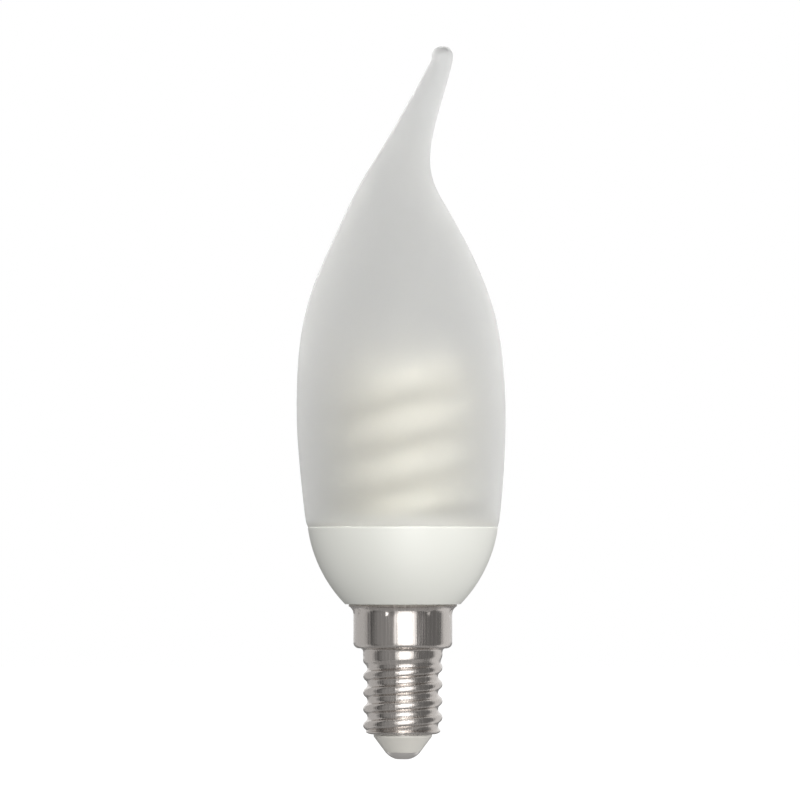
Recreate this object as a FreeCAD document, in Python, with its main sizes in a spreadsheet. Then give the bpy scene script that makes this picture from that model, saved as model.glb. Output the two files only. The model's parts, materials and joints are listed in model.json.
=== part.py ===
# Candle lamp with a bent tip: a frosted glass bulb over a spiral fluorescent tube, a plastic cup
# that holds the driver circuit, and a small Edison screw cap.
#
# The lamp's axis is Z, from the cap up to the glass tip. The origin is on the axis, on the flat
# of the centre contact. The tip bends towards +X and the front is -Y. Millimetres and degrees.
import FreeCAD, Part
import Sketcher
import math
import os
import re
from FreeCAD import Placement, Rotation, Vector

SIZES = [
    ("contact_dome", 1.2, "height of the centre contact under the insulator"),
    ("contact_radius", 3.0, "radius of the centre contact"),
    ("contact_flat", 1.1, "radius of the flat that touches the holder"),
    ("contact_dome_radius", 3.4, "radius of the contact's domed edge in section"),
    ("stem_radius", 1.2, "radius of the contact's hollow stem"),
    ("stem_length", 4.6, "length of the stem above the contact"),
    ("stem_bore", 0.45, "radius of the hole in the stem that takes the lead"),
    ("cone_height", 2.7, "height of the insulator's cone"),
    ("edge_flat", 0.45, "flat ring of the shell's bottom edge, round the insulator's cone"),
    ("collar_height", 0.4, "insulator's straight collar below the shell"),
    ("flange_height", 3.2, "insulator's height inside the shell"),
    ("cap_play", 0.05, "clearance between pieces of the cap that fit each other"),
    ("sheet", 0.3, "thickness of the rolled shell"),
    ("crest_radius", 6.8, "radius over the thread's crests"),
    ("thread_depth", 0.74, "depth of the thread"),
    ("pitch", 2.822, "pitch of the thread"),
    ("thread_land", 0.1, "plain ring between the thread and the bend to the shoulder"),
    ("groove_start", 1.4, "how far below the shell's edge the groove starts"),
    ("thread_flat", 0.35, "width of the flats at crest and root"),
    ("edge_bend", 1.3, "outer radius of the shell's rolled bottom edge"),
    ("edge_slope", 0.35, "rise of the shell's inside over its rolled edge"),
    ("screw_height", 14.05, "shell's screwed part, from its edge to the shoulder"),
    ("shoulder_bend", 0.6, "radius of the bend from thread to shoulder"),
    ("skirt_bend", 0.97, "radius of the bend from shoulder to skirt"),
    ("shoulder_flat", 0.1, "flat of the shoulder between its two bends"),
    ("skirt_height", 4.88, "straight part of the skirt"),
    ("flare_bend", 1.5, "radius of the flared lip"),
    ("flare_angle", 66.0, "angle through which the lip flares"),
    ("dent_radius", 0.9, "radius of the ball that makes a crimp"),
    ("dent_depth", 0.24, "depth of a crimp"),
    ("dent_count", 8, "crimps round the skirt"),
    ("dent_start", 29.0, "turn of the first crimp from +X"),
    ("neck_play", 0.05, "clearance of the cup's neck in the skirt"),
    ("neck_wall", 1.3, "wall of the neck"),
    ("neck_gap", 0.28, "gap between the neck's foot and the bend of the skirt"),
    ("foot_reach", 0.54, "how far the cup's foot reaches out past the metal lip"),
    ("rim_step", 0.02, "how far the cup's rim stays inside the glass's edge"),
    ("cup_height", 13.2, "height of the cup from the lip to the seam"),
    ("cup_bulge", 23.5, "radius of the cup's side in section"),
    ("cup_edge", 0.25, "bevel of the cup's rim at the seam"),
    ("holder_fit", 0.1, "clearance round the holder's flange in the cup's recess"),
    ("ledge_depth", 1.0, "depth of that recess below the seam"),
    ("ledge_width", 0.7, "width of the recess's floor, which carries the holder"),
    ("bore_foot", 0.6, "rise of the cup's inside above its neck"),
    ("rib_count", 4, "ribs that carry the circuit board"),
    ("rib_width", 0.9, "thickness of a rib"),
    ("rib_shelf", 1.0, "how far the ribs reach under the board"),
    ("rib_depth", 2.4, "height of a rib under the board"),
    ("rib_turn", 45.0, "turn of the first rib from +X"),
    ("board_drop", 7.3, "board's underside below the seam"),
    ("board_play", 0.18, "gap between the board's edge and the cup"),
    ("board_thick", 1.0, "thickness of the circuit board"),
    ("holder_drop", 3.8, "holder plate's underside below the seam"),
    ("holder_plate", 1.3, "thickness of the holder's plate"),
    ("holder_gap", 0.4, "gap between the holder's cup and the bore"),
    ("holder_wall", 0.8, "wall of the holder's cup"),
    ("cement_width", 0.47, "width of the cement ring between the holder and the glass"),
    ("holder_rise", 1.8, "rise of the holder's upstand into the glass"),
    ("holder_play", 0.1, "clearance of the tube's legs in the holder"),
    ("cement_rise", 1.2, "height of the cement ring"),
    ("cement_play", 0.05, "gap between the cement and the glass"),
    ("glass_wall", 0.9, "wall of the glass bulb"),
    ("glass_bevel", 0.32, "inward bevel of the glass at the seam"),
    ("glass_bevel_height", 1.5, "height of that bevel"),
    ("rim_radius", 16.62, "glass radius at the seam, before the bevel"),
    ("glass_lean", 0.9, "lean of the bulb away from the side its tip bends to"),
    ("side_height", 28.6, "height of the bulb's side above the seam"),
    ("side_radius", 17.47, "radius at the top of the side"),
    ("side_bulge", 120.0, "radius of the side in section"),
    ("crown_height", 18.0, "height of the crown, from the side up"),
    ("crown_radius", 12.35, "radius at the top of the crown"),
    ("crown_bulge", 53.0, "radius of the crown in section"),
    ("throat_height", 9.9, "height of the throat, where the tail begins, from the crown up"),
    ("throat_radius", 7.62, "radius of the throat"),
    ("throat_wall", 1.22, "wall where the hollow starts to close"),
    ("hollow_height", 5.7, "height of the hollow's closed end, from the throat up"),
    ("bend_height", 4.6, "height of the bend, from the throat up"),
    ("bend_radius", 5.53, "radius of the bend"),
    ("bend_shift", 0.73, "shift of the bend from the throat, towards +X"),
    ("bend_tilt", 11.0, "tilt of the bend"),
    ("neck_height", 6.1, "height of the drawn neck, from the bend up"),
    ("neck_radius", 3.48, "radius of the drawn neck"),
    ("neck_shift", 1.88, "shift of the drawn neck from the bend"),
    ("neck_tilt", 19.8, "tilt of the drawn neck"),
    ("tail_height", 6.2, "height of the tail, from the drawn neck up"),
    ("tail_radius", 2.57, "radius of the tail"),
    ("tail_shift", 2.35, "shift of the tail from the drawn neck"),
    ("tail_tilt", 21.8, "tilt of the tail"),
    ("tip_height", 5.9, "height of the tip, from the tail up"),
    ("tip_radius", 1.92, "radius of the tip"),
    ("tip_shift", 2.43, "shift of the tip from the tail"),
    ("tip_tilt", 16.0, "tilt of the tip"),
    ("shut_height", 1.3, "height of the place where the glass was melted shut, from the tip up"),
    ("shut_radius", 1.79, "radius there"),
    ("shut_shift", 0.26, "shift of the melted place from the tip"),
    ("bead_height", 0.35, "height of the bead's centre, from that place up"),
    ("bead_radius", 1.81, "radius of the bead"),
    ("bead_shift", -0.07, "shift of the bead from there"),
    ("leg_gap", 0.234, "gap between the tube's legs and the holder's wall"),
    ("spiral_tube", 3.1, "radius of the discharge tube"),
    ("winding_gap", 1.05, "gap between one winding and the next"),
    ("spiral_base", 0.9, "height of the spiral's low end above the seam"),
    ("spiral_height", 25.8, "height of the winding, from its low end to the bridge"),
    ("spiral_turn", 34.4, "turn of the first winding's low end from +X"),
    ("leg_bend", 3.6, "radius of the bend from winding to leg"),
    ("bridge_bend", 3.3, "radius of the two bends in the bridge across the top"),
    ("leg_length", 2.2, "straight length of a leg"),
    ("wire_radius", 0.25, "radius of the bare wires"),
    ("lead_radius", 0.4, "radius of the insulated leads"),
    ("lead_bend", 1.2, "bend radius of the leads"),
    ("wire_bend", 0.4, "bend radius of the bare wires"),
    ("pin_size", 0.8, "side of a wrap pin"),
    ("pin_play", 0.05, "clearance of a pin in its hole"),
    ("pin_height", 2.0, "height of a wrap pin above the board"),
    ("pin_inset", 1.3, "distance of the wrap pins from the board's edge"),
    ("pin_offset", 4.08, "distance of a wrap pin from the line through its leg and the axis"),
    ("tail_spread", 1.0, "distance of a tube lead from the leg's centre"),
    ("tail_drop", 0.7, "fall of a tube lead before it bends to its pin"),
    ("choke_shift", 5.3, "choke's centre towards +X"),
    ("choke_thick", 4.6, "thickness of the choke's core"),
    ("choke_width", 8.0, "width of the core"),
    ("choke_height", 4.4, "height of the core"),
    ("choke_leg", 2.8, "width of the core's middle leg"),
    ("choke_side", 1.1, "width of the core's side legs"),
    ("choke_yoke", 0.9, "height of the core's yokes"),
    ("winding_swell", 0.8, "how far the winding stands out of the core"),
    ("winding_play", 0.05, "clearance round the choke's winding"),
    ("capacitor_radius", 2.9, "radius of the storage capacitor"),
    ("capacitor_length", 10.0, "length of its can"),
    ("capacitor_stand", 1.0, "gap between its can and the board"),
    ("capacitor_shift", -1.0, "its centre towards +X"),
    ("capacitor_pins", 2.5, "distance between its leads"),
    ("capacitor_edge", 0.5, "rounding of its can"),
    ("capacitor_bead", 0.2, "depth of the rolled groove near its open end"),
    ("film_thick", 3.4, "thickness of the film capacitor"),
    ("film_width", 6.8, "width of the film capacitor"),
    ("film_height", 3.8, "height of the film capacitor"),
    ("film_shift", -6.2, "its centre towards +X"),
    ("film_edge", 0.5, "rounding of the film capacitor"),
    ("ring_outer", 2.9, "outer radius of the drive transformer's ring"),
    ("ring_inner", 1.6, "inner radius of the ring"),
    ("ring_height", 2.2, "height of the ring"),
    ("ring_side", 0.5, "ring's centre towards +X"),
    ("ring_back", 6.9, "ring's centre towards the back"),
    ("turn_wire", 0.3, "thickness of the wire on the ring"),
    ("turn_play", 0.02, "clearance of the wire on the ring"),
    ("turn_count", 6, "turns on the ring"),
    ("case_radius", 2.2, "radius of a transistor's case"),
    ("case_flat", 0.9, "distance of the case's flat from its centre"),
    ("case_height", 4.0, "height of the case"),
    ("case_stand", 0.8, "gap between the case and the board"),
    ("case_front", 5.3, "cases' distance in front of the axis"),
    ("case_pitch", 1.27, "distance between a transistor's leads"),
    ("case_left", -2.6, "first case towards +X"),
    ("case_right", 3.4, "second case towards +X"),
    ("diode_radius", 0.85, "radius of a diode's body"),
    ("diode_length", 3.4, "length of a diode's body"),
    ("diode_reach", 1.1, "reach of the leads past the body"),
    ("diode_stand", 0.15, "gap between a diode and the board"),
    ("diode_space", 2.4, "distance between the bridge diodes"),
    ("diode_count", 4, "diodes in the bridge"),
    ("resistor_radius", 0.8, "radius of a resistor's ends"),
    ("resistor_waist", 0.65, "radius of a resistor's middle"),
    ("resistor_cap", 0.9, "length of a resistor's wider ends"),
    ("resistor_middle", 1.8, "length of a resistor's middle"),
    ("resistor_space", 3.0, "distance from the last diode to a resistor"),
    ("trigger_radius", 0.65, "radius of the trigger diode"),
    ("trigger_space", 2.4, "distance from a resistor to the trigger diode"),
    ("fuse_radius", 1.1, "radius of the fusible resistor"),
    ("fuse_waist", 0.88, "radius of the fusible resistor's middle"),
    ("fuse_length", 6.5, "length of the fusible resistor"),
    ("fuse_drop", 1.8, "straight run of the contact lead above the fusible resistor's wire"),
    ("fuse_tail", 1.5, "wire above its upper end"),
    ("contact_lead_out", 3.6, "distance of the contact lead from the axis, beside the capacitor"),
    ("contact_lead_low", 2.2, "height over which the lead crosses to there"),
    ("shell_lead_turn", 126.0, "turn of the shell's lead from +X"),
    ("lead_gap", 0.72, "gap between the shell's lead and the neck"),
]

NAMES = {name for name, _, _ in SIZES}
document = FreeCAD.newDocument("candle_lamp")
sheet = document.addObject("Spreadsheet::Sheet", "sizes")
for row, (name, size, meaning) in enumerate(SIZES, start=1):
    sheet.set(f"A{row}", meaning)
    sheet.set(f"B{row}", str(size))
    sheet.setAlias(f"B{row}", name)
document.recompute()

# Heights and radii that several pieces share, each worked out from the sizes.
ROOT_RADIUS = "(crest_radius - thread_depth)"
CONE_RADIUS = "(crest_radius - edge_bend - edge_flat - cap_play)"
CONE_TOP = "(contact_dome + cone_height)"
SHELL_EDGE = f"({CONE_TOP} + collar_height)"
SHOULDER_START = f"({SHELL_EDGE} + screw_height)"
SKIRT_RADIUS = "(crest_radius + shoulder_bend + shoulder_flat + skirt_bend)"
SKIRT_START = f"({SHOULDER_START} + shoulder_bend + skirt_bend)"
FLARE_START = f"({SKIRT_START} + skirt_height)"
FLARE_CENTRE = f"({SKIRT_RADIUS} + flare_bend)"
LIP_BEND = "(flare_bend + sheet)"
SEAT_BEND = "(flare_bend + sheet + neck_play)"

CUP_FOOT = f"({FLARE_START} + {SEAT_BEND} * sin(flare_angle))"
CUP_FOOT_RADIUS = f"({FLARE_CENTRE} - flare_bend * cos(flare_angle) + foot_reach)"
SEAM = f"({CUP_FOOT} + cup_height)"
CUP_RIM_RADIUS = "(rim_radius - glass_bevel - rim_step)"
NECK_OUTER = f"({SKIRT_RADIUS} - sheet - neck_play)"
NECK_INNER = f"({NECK_OUTER} - neck_wall)"
NECK_FOOT = f"({SKIRT_START} + neck_gap)"

HOLDER_FLANGE = "(rim_radius - glass_wall - cement_play - cement_width)"
LEDGE_RADIUS = f"({HOLDER_FLANGE} + holder_fit)"
BORE_RADIUS = f"({LEDGE_RADIUS} - ledge_width)"
HOLDER_CUP = f"({BORE_RADIUS} - holder_gap)"
PLATE_UNDER = f"({SEAM} - holder_drop)"
PLATE_TOP = f"({PLATE_UNDER} + holder_plate)"

BOARD_UNDER = f"({SEAM} - board_drop)"
BOARD_TOP = f"({BOARD_UNDER} + board_thick)"

# The cup's inside is an arc from its bore to its neck. This is its radius at the board.
LEDGE = f"({SEAM} - ledge_depth)"
BORE_FOOT = f"({FLARE_START} + bore_foot)"
HALF_IN = f"(({BORE_RADIUS} - {NECK_INNER}) / 2)"
HALF_UP = f"(({LEDGE} - {BORE_FOOT}) / 2)"
ARC_LEAN = f"sqrt(cup_bulge * cup_bulge / ({HALF_IN} * {HALF_IN} + {HALF_UP} * {HALF_UP}) - 1)"
ARC_CENTRE = f"({BORE_RADIUS} - {HALF_IN} - {HALF_UP} * {ARC_LEAN})"
ARC_DROP = f"({LEDGE} - {HALF_UP} + {HALF_IN} * {ARC_LEAN} - {BOARD_UNDER})"
WALL_AT_BOARD = f"({ARC_CENTRE} + sqrt(cup_bulge * cup_bulge - {ARC_DROP} * {ARC_DROP}))"
BOARD_RADIUS = f"({WALL_AT_BOARD} - board_play)"
RIB_REACH = f"({BOARD_RADIUS} - rib_shelf)"
PIN_RADIUS = f"({BOARD_RADIUS} - pin_inset)"
PIN_TURN = f"(asin(pin_offset / {PIN_RADIUS}) / (1 deg))"

SPIRAL_LOW = f"({SEAM} + spiral_base)"
SPIRAL_TOP = f"({SPIRAL_LOW} + spiral_height)"
SPIRAL_LEAD = "(4 * spiral_tube + 2 * winding_gap)"
LEG_TOP = f"({SPIRAL_LOW} - leg_bend)"
LEG_FOOT = f"({LEG_TOP} - leg_length)"
LEG_RADIUS = f"({HOLDER_CUP} - holder_wall - spiral_tube - leg_gap)"
SPIRAL_RADIUS = f"sqrt({LEG_RADIUS} * {LEG_RADIUS} - leg_bend * leg_bend)"
LEG_TURN = f"(spiral_turn - atan(leg_bend / {SPIRAL_RADIUS}) / (1 deg))"

CAN_TOP = f"({BOARD_UNDER} - capacitor_stand)"
CAN_FOOT = f"({CAN_TOP} - capacitor_length)"
LEAD_CROSSING = f"({CAN_FOOT} - lead_radius)"
FUSE_WIRE_TOP = f"({LEAD_CROSSING} - contact_lead_low - fuse_drop)"
FUSE_TOP = f"({FUSE_WIRE_TOP} - fuse_tail)"
FUSE_FOOT = f"({FUSE_TOP} - fuse_length)"

# A distance shorter than this is none at all.
ZERO = 1e-9


def bound(formula):
    """The formula with each size's name pointing at its cell of the sheet."""
    return re.sub(r"[a-z_]+", lambda word: f"sizes.{word[0]}" if word[0] in NAMES else word[0], str(formula))


def number(formula):
    """What a formula comes to with the sheet's present sizes."""
    found = sheet.evalExpression(bound(formula))
    return float(getattr(found, "Value", found))


def place(thing, x="0", y="0", z="0", turn=None, axis=Vector(0, 0, 1)):
    """Bind a piece's position, and its turn about an axis, to the sheet."""
    thing.Placement = Placement(Vector(), Rotation(axis, number(turn or 0)))
    for letter, formula in zip("xyz", (x, y, z)):
        thing.setExpression(f".Placement.Base.{letter}", bound(formula))
    if turn:
        thing.setExpression(".Placement.Rotation.Angle", bound(turn))
    return thing


def make(kind, name, **formulas):
    """A Part primitive whose properties are bound to the sheet."""
    thing = document.addObject(kind, name)
    for key, formula in formulas.items():
        thing.setExpression(key, bound(formula))
    return thing


def join(name, *pieces):
    """One solid out of pieces that touch or overlap."""
    union = document.addObject("Part::MultiFuse", name)
    union.Shapes = list(pieces)
    return named(union, name)


def group(name, pieces):
    """Several like solids that share a node."""
    together = document.addObject("Part::Compound", name)
    together.Links = list(pieces)
    return named(together, name)


def cut(name, base, *tools):
    """The base less each tool in turn."""
    for index, tool in enumerate(tools):
        less = document.addObject("Part::Cut", f"{name}_cut_{index}")
        less.Base = base
        less.Tool = tool
        base = less
    return base


def named(thing, label):
    thing.Label = label
    return thing


def origin_part(body, role):
    """The body's own origin plane or axis with this role."""
    return next(part for part in body.Origin.OriginFeatures if part.Role == role)


def new_body(label):
    return named(document.addObject("PartDesign::Body", label), label)


def new_sketch(body, name, plane="XZ_Plane"):
    sketch = body.newObject("Sketcher::SketchObject", name)
    sketch.AttachmentSupport = (origin_part(body, plane), [""])
    sketch.MapMode = "FlatFace"
    return sketch


def pin_down(sketch, geometry, vertex, across, up):
    """Hold a vertex at bound distances from the sketch's two axes."""
    for kind, axis, formula in (("DistanceX", -2, across), ("DistanceY", -1, up)):
        size = number(formula)
        if abs(size) < ZERO:
            sketch.addConstraint(Sketcher.Constraint("PointOnObject", geometry, vertex, axis))
            continue
        ends = (-1, 1, geometry, vertex) if size > 0 else (geometry, vertex, -1, 1)
        which = sketch.addConstraint(Sketcher.Constraint(kind, *ends, abs(size)))
        label = f"{kind}_{geometry}_{vertex}"
        sketch.renameConstraint(which, label)
        sketch.setExpression(f"Constraints.{label}", bound(formula if size > 0 else f"-({formula})"))


def draw(sketch, corners, bends=None):
    """Draw a closed outline. bends maps a side to its radius: above 0 it turns left, below 0 right."""
    bends = bends or {}
    spots = [Vector(number(across), number(up), 0) for across, up in corners]
    ends = []
    for side, start in enumerate(spots):
        end = spots[(side + 1) % len(spots)]
        if side not in bends:
            ends.append((sketch.addGeometry(Part.LineSegment(start, end)), 1, 2))
            continue
        radius = abs(number(bends[side]))
        left = number(bends[side]) > 0
        half = (end - start) / 2
        reach = math.sqrt(max(radius ** 2 - half.Length ** 2, 0))
        normal = Vector(-half.y, half.x, 0).normalize() * (reach if left else -reach)
        centre = start + half + normal
        first, last = (start, end) if left else (end, start)
        angles = [math.atan2(spot.y - centre.y, spot.x - centre.x) for spot in (first, last)]
        circle = Part.Circle(centre, Vector(0, 0, 1), radius)
        arc = sketch.addGeometry(Part.ArcOfCircle(circle, angles[0], angles[1]))
        which = sketch.addConstraint(Sketcher.Constraint("Radius", arc, radius))
        sketch.renameConstraint(which, f"bend_{side}")
        sketch.setExpression(f"Constraints.bend_{side}", bound(f"abs({bends[side]})"))
        ends.append((arc, 1, 2) if left else (arc, 2, 1))
    for side, (geometry, begin, finish) in enumerate(ends):
        after, start_vertex, _ = ends[(side + 1) % len(ends)]
        sketch.addConstraint(Sketcher.Constraint("Coincident", geometry, finish, after, start_vertex))
        pin_down(sketch, geometry, begin, *corners[side])
    return sketch


def draw_circle(sketch, across, up, radius):
    """Draw a circle whose centre and radius are bound to the sheet."""
    centre = Vector(number(across), number(up), 0)
    circle = sketch.addGeometry(Part.Circle(centre, Vector(0, 0, 1), number(radius)))
    which = sketch.addConstraint(Sketcher.Constraint("Radius", circle, number(radius)))
    sketch.renameConstraint(which, "radius")
    sketch.setExpression("Constraints.radius", bound(radius))
    pin_down(sketch, circle, 3, across, up)
    return sketch


def feature(body, kind, name, **settings):
    """Add a PartDesign feature, with its plain settings, and make it the body's tip."""
    step = body.newObject(f"PartDesign::{kind}", name)
    for key, setting in settings.items():
        setattr(step, key, setting)
    body.Tip = step
    return step


def turned(body, name, corners, bends=None, kind="Revolution"):
    """Turn an outline, drawn as radius and height, about the lamp's axis."""
    sketch = draw(new_sketch(body, f"{name}_outline"), corners, bends)
    return feature(body, kind, name, Profile=sketch, ReferenceAxis=(sketch, ["V_Axis"]), Angle=360)


def round_about(body, name, originals, count, turn=360):
    """Repeat features about the lamp's axis."""
    step = feature(body, "PolarPattern", name, Originals=originals, Angle=turn)
    step.Axis = (origin_part(body, "Z_Axis"), [""])
    step.setExpression("Occurrences", bound(count))
    return step


def bent_wire(route, radius, bend):
    """A round wire along straight runs joined by tangent arcs."""
    edges, last = [], route[0]
    for before, corner, after in zip(route, route[1:], route[2:]):
        back, on = (before - corner).normalize(), (after - corner).normalize()
        half = back.getAngle(on) / 2
        set_back = bend / math.tan(half)
        middle = (back + on).normalize() * (bend / math.sin(half) - bend)
        start, end = corner + back * set_back, corner + on * set_back
        edges += [Part.LineSegment(last, start).toShape(), Part.Arc(start, corner + middle, end).toShape()]
        last = end
    edges.append(Part.LineSegment(last, route[-1]).toShape())
    section = Part.Wire(Part.makeCircle(radius, route[0], route[1] - route[0]))
    return Part.Wire(edges).makePipeShell([section], True, False)


def shaped(label, shape):
    """A piece whose shape comes straight from the geometry functions."""
    piece = document.addObject("Part::Feature", label)
    piece.Shape = shape
    return named(piece, label)


def on_ring(radius, turn, height=0.0):
    """The point at this radius, turn from +X and height."""
    angle = math.radians(turn)
    return Vector(radius * math.cos(angle), radius * math.sin(angle), height)


def centre_contact():
    """A domed metal button with a hollow stem that takes the supply wire."""
    body = new_body("centre_contact")
    top = "(contact_dome + stem_length)"
    corners = [
        ("0", "0"),
        ("contact_flat", "0"),
        ("contact_radius", "contact_dome"),
        ("stem_radius", "contact_dome"),
        ("stem_radius", top),
        ("0", top),
    ]
    turned(body, "button", corners, {1: "contact_dome_radius"})
    bore = [("0", "contact_dome"), ("stem_bore", "contact_dome"), ("stem_bore", top), ("0", top)]
    turned(body, "stem_hole", bore, kind="Groove")


def cap_insulator():
    """The white cone between the contact and the shell, with a flange inside the shell."""
    seat = f"({SHELL_EDGE} + sheet)"
    bore = "(stem_radius + cap_play)"
    flange = f"({ROOT_RADIUS} - sheet - cap_play)"
    corners = [
        (bore, "contact_dome"),
        ("contact_radius", "contact_dome"),
        (CONE_RADIUS, CONE_TOP),
        (CONE_RADIUS, seat),
        ("crest_radius - edge_bend", seat),
        (flange, f"{seat} + edge_slope + 2 * cap_play"),
        (flange, f"{seat} + flange_height"),
        (bore, f"{seat} + flange_height"),
    ]
    turned(new_body("cap_insulator"), "cone", corners)


def thread_groove(body, name, foot, low, high, side, climb):
    """Cut a helical groove from its deep radius to past its open one, which climbs this far."""
    half = "pitch / 2 - thread_flat / 2"
    narrow = "thread_flat / 2"
    corners = [
        (low, f"{foot} - {narrow}"),
        (high, f"{foot} - ({half})"),
        (f"{high} + {side}", f"{foot} - ({half})"),
        (f"{high} + {side}", f"{foot} + {half}"),
        (high, f"{foot} + {half}"),
        (low, f"{foot} + {narrow}"),
    ]
    sketch = draw(new_sketch(body, f"{name}_section"), corners)
    step = feature(body, "SubtractiveHelix", name, Profile=sketch, ReferenceAxis=(sketch, ["V_Axis"]), Mode=0)
    step.setExpression("Pitch", bound("pitch"))
    step.setExpression("Height", bound(climb))
    return step


def screw_shell():
    """The nickelled shell: thin sheet rolled into a thread, with a skirt, a flared lip and crimps."""
    body = new_body("screw_shell")
    shoulder = f"({SHOULDER_START} + shoulder_bend)"
    bore = f"({ROOT_RADIUS} - sheet)"
    lip = [(f"{FLARE_CENTRE} - {bend} * cos(flare_angle)", f"{FLARE_START} + {bend} * sin(flare_angle)")
           for bend in ("flare_bend", LIP_BEND)]
    corners = [
        (f"{CONE_RADIUS} + cap_play", SHELL_EDGE),
        ("crest_radius - edge_bend", SHELL_EDGE),
        ("crest_radius", f"{SHELL_EDGE} + edge_bend"),
        ("crest_radius", SHOULDER_START),
        ("crest_radius + shoulder_bend", shoulder),
        (f"{SKIRT_RADIUS} - skirt_bend", shoulder),
        (SKIRT_RADIUS, SKIRT_START),
        (SKIRT_RADIUS, FLARE_START),
        lip[0],
        lip[1],
        (f"{SKIRT_RADIUS} - sheet", FLARE_START),
        (f"{SKIRT_RADIUS} - sheet", SKIRT_START),
        (f"{SKIRT_RADIUS} - skirt_bend", f"{shoulder} + sheet"),
        ("crest_radius + shoulder_bend", f"{shoulder} + sheet"),
        ("crest_radius - sheet", SHOULDER_START),
        (bore, f"{SHOULDER_START} - thread_depth"),
        (bore, f"{SHELL_EDGE} + sheet + edge_slope"),
        ("crest_radius - edge_bend", f"{SHELL_EDGE} + sheet"),
        (f"{CONE_RADIUS} + cap_play", f"{SHELL_EDGE} + sheet"),
    ]
    bends = {
        1: "edge_bend",
        3: "-shoulder_bend",
        5: "skirt_bend",
        7: "-flare_bend",
        9: LIP_BEND,
        11: "-(skirt_bend - sheet)",
        13: "shoulder_bend + sheet",
    }
    turned(body, "drawn_shell", corners, bends)
    foot = f"({SHELL_EDGE} - groove_start)"
    climb = f"({SHOULDER_START} - thread_land - (pitch - thread_flat) / 2 - {foot})"
    thread_groove(body, "thread", foot, ROOT_RADIUS, "crest_radius", "sheet", climb)
    inside = f"({foot} + pitch * 1.5)"
    climb_inside = f"({climb} - 2 * pitch)"
    thread_groove(body, "thread_inside", inside, "crest_radius - sheet", bore, "(-sheet)", climb_inside)
    dent = feature(body, "SubtractiveSphere", "crimp")
    dent.setExpression("Radius", bound("dent_radius"))
    reach = f"({SKIRT_RADIUS} + dent_radius - dent_depth)"
    place(dent, f"{reach} * cos(dent_start)", f"{reach} * sin(dent_start)", FLARE_START)
    round_about(body, "crimps", [dent], "dent_count")


def ballast_housing():
    """The white cup: a neck inside the metal skirt, a bulged side, and ribs that carry the board."""
    body = new_body("ballast_housing")
    corners = [
        (NECK_INNER, NECK_FOOT),
        (NECK_OUTER, NECK_FOOT),
        (NECK_OUTER, FLARE_START),
        (f"{FLARE_CENTRE} - {SEAT_BEND} * cos(flare_angle)", CUP_FOOT),
        (CUP_FOOT_RADIUS, CUP_FOOT),
        (CUP_RIM_RADIUS, f"{SEAM} - cup_edge"),
        (f"{CUP_RIM_RADIUS} - cup_edge", SEAM),
        (LEDGE_RADIUS, SEAM),
        (LEDGE_RADIUS, LEDGE),
        (BORE_RADIUS, LEDGE),
        (NECK_INNER, BORE_FOOT),
    ]
    bends = {2: f"-({SEAT_BEND})", 4: "cup_bulge", 9: "-cup_bulge"}
    turned(body, "cup", corners, bends)
    sketch = new_sketch(body, "rib_outline")
    sketch.AttachmentOffset = Placement(Vector(), Rotation(Vector(0, 1, 0), number("rib_turn")))
    sketch.setExpression(".AttachmentOffset.Rotation.Angle", bound("rib_turn"))
    rib = [
        (RIB_REACH, BOARD_UNDER),
        (f"{WALL_AT_BOARD} + rib_width / 2", BOARD_UNDER),
        (f"{RIB_REACH} + rib_width / 2", f"{BOARD_UNDER} - rib_depth"),
    ]
    draw(sketch, rib)
    pad = feature(body, "Pad", "rib", Profile=sketch, Midplane=True)
    pad.setExpression("Length", bound("rib_width"))
    round_about(body, "ribs", [pad], "rib_count")


def tube_holder():
    """The plate that the tube's legs stand in, a shallow cup whose upstand locates the glass."""
    body = new_body("tube_holder")
    top = f"({SEAM} + holder_rise)"
    bevel = "(holder_wall * 2)"
    bore = f"({HOLDER_CUP} - holder_wall)"
    upstand = f"({HOLDER_FLANGE} - holder_wall)"
    corners = [
        ("0", PLATE_UNDER),
        (bore, PLATE_UNDER),
        (HOLDER_CUP, f"{PLATE_UNDER} + {bevel}"),
        (HOLDER_CUP, LEDGE),
        (HOLDER_FLANGE, LEDGE),
        (HOLDER_FLANGE, top),
        (upstand, top),
        (upstand, SEAM),
        (bore, LEDGE),
        (bore, PLATE_TOP),
        ("0", PLATE_TOP),
    ]
    turned(body, "holder_plate_turned", corners)
    hole = feature(body, "SubtractiveCylinder", "leg_hole")
    hole.setExpression("Radius", bound("spiral_tube + holder_play"))
    hole.setExpression("Height", bound("holder_plate * 3"))
    low = f"{PLATE_UNDER} - holder_plate"
    place(hole, f"{LEG_RADIUS} * cos({LEG_TURN})", f"{LEG_RADIUS} * sin({LEG_TURN})", low)
    round_about(body, "leg_holes", [hole], "2")


def envelope_cement():
    """The ring of cement between the holder's upstand and the glass."""
    outer = "(rim_radius - glass_wall - cement_play)"
    corners = [
        (HOLDER_FLANGE, SEAM),
        (outer, SEAM),
        (outer, f"{SEAM} + cement_rise"),
        (HOLDER_FLANGE, f"{SEAM} + cement_rise"),
    ]
    turned(new_body("envelope_cement"), "cement_ring", corners)


def glass_section(body, name, height, radius, shift="0", tilt="0", towards=1):
    """One round section of the glass, shifted towards +X and tilted that way, or the other with -1."""
    sketch = new_sketch(body, name, "XY_Plane")
    sketch.AttachmentOffset = Placement(Vector(), Rotation(Vector(0, towards, 0), number(tilt)))
    sketch.setExpression(".AttachmentOffset.Base.x", bound(shift))
    sketch.setExpression(".AttachmentOffset.Base.z", bound(f"{SEAM} + {height}"))
    sketch.setExpression(".AttachmentOffset.Rotation.Angle", bound(tilt))
    return draw_circle(sketch, "0", "0", radius)


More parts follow.
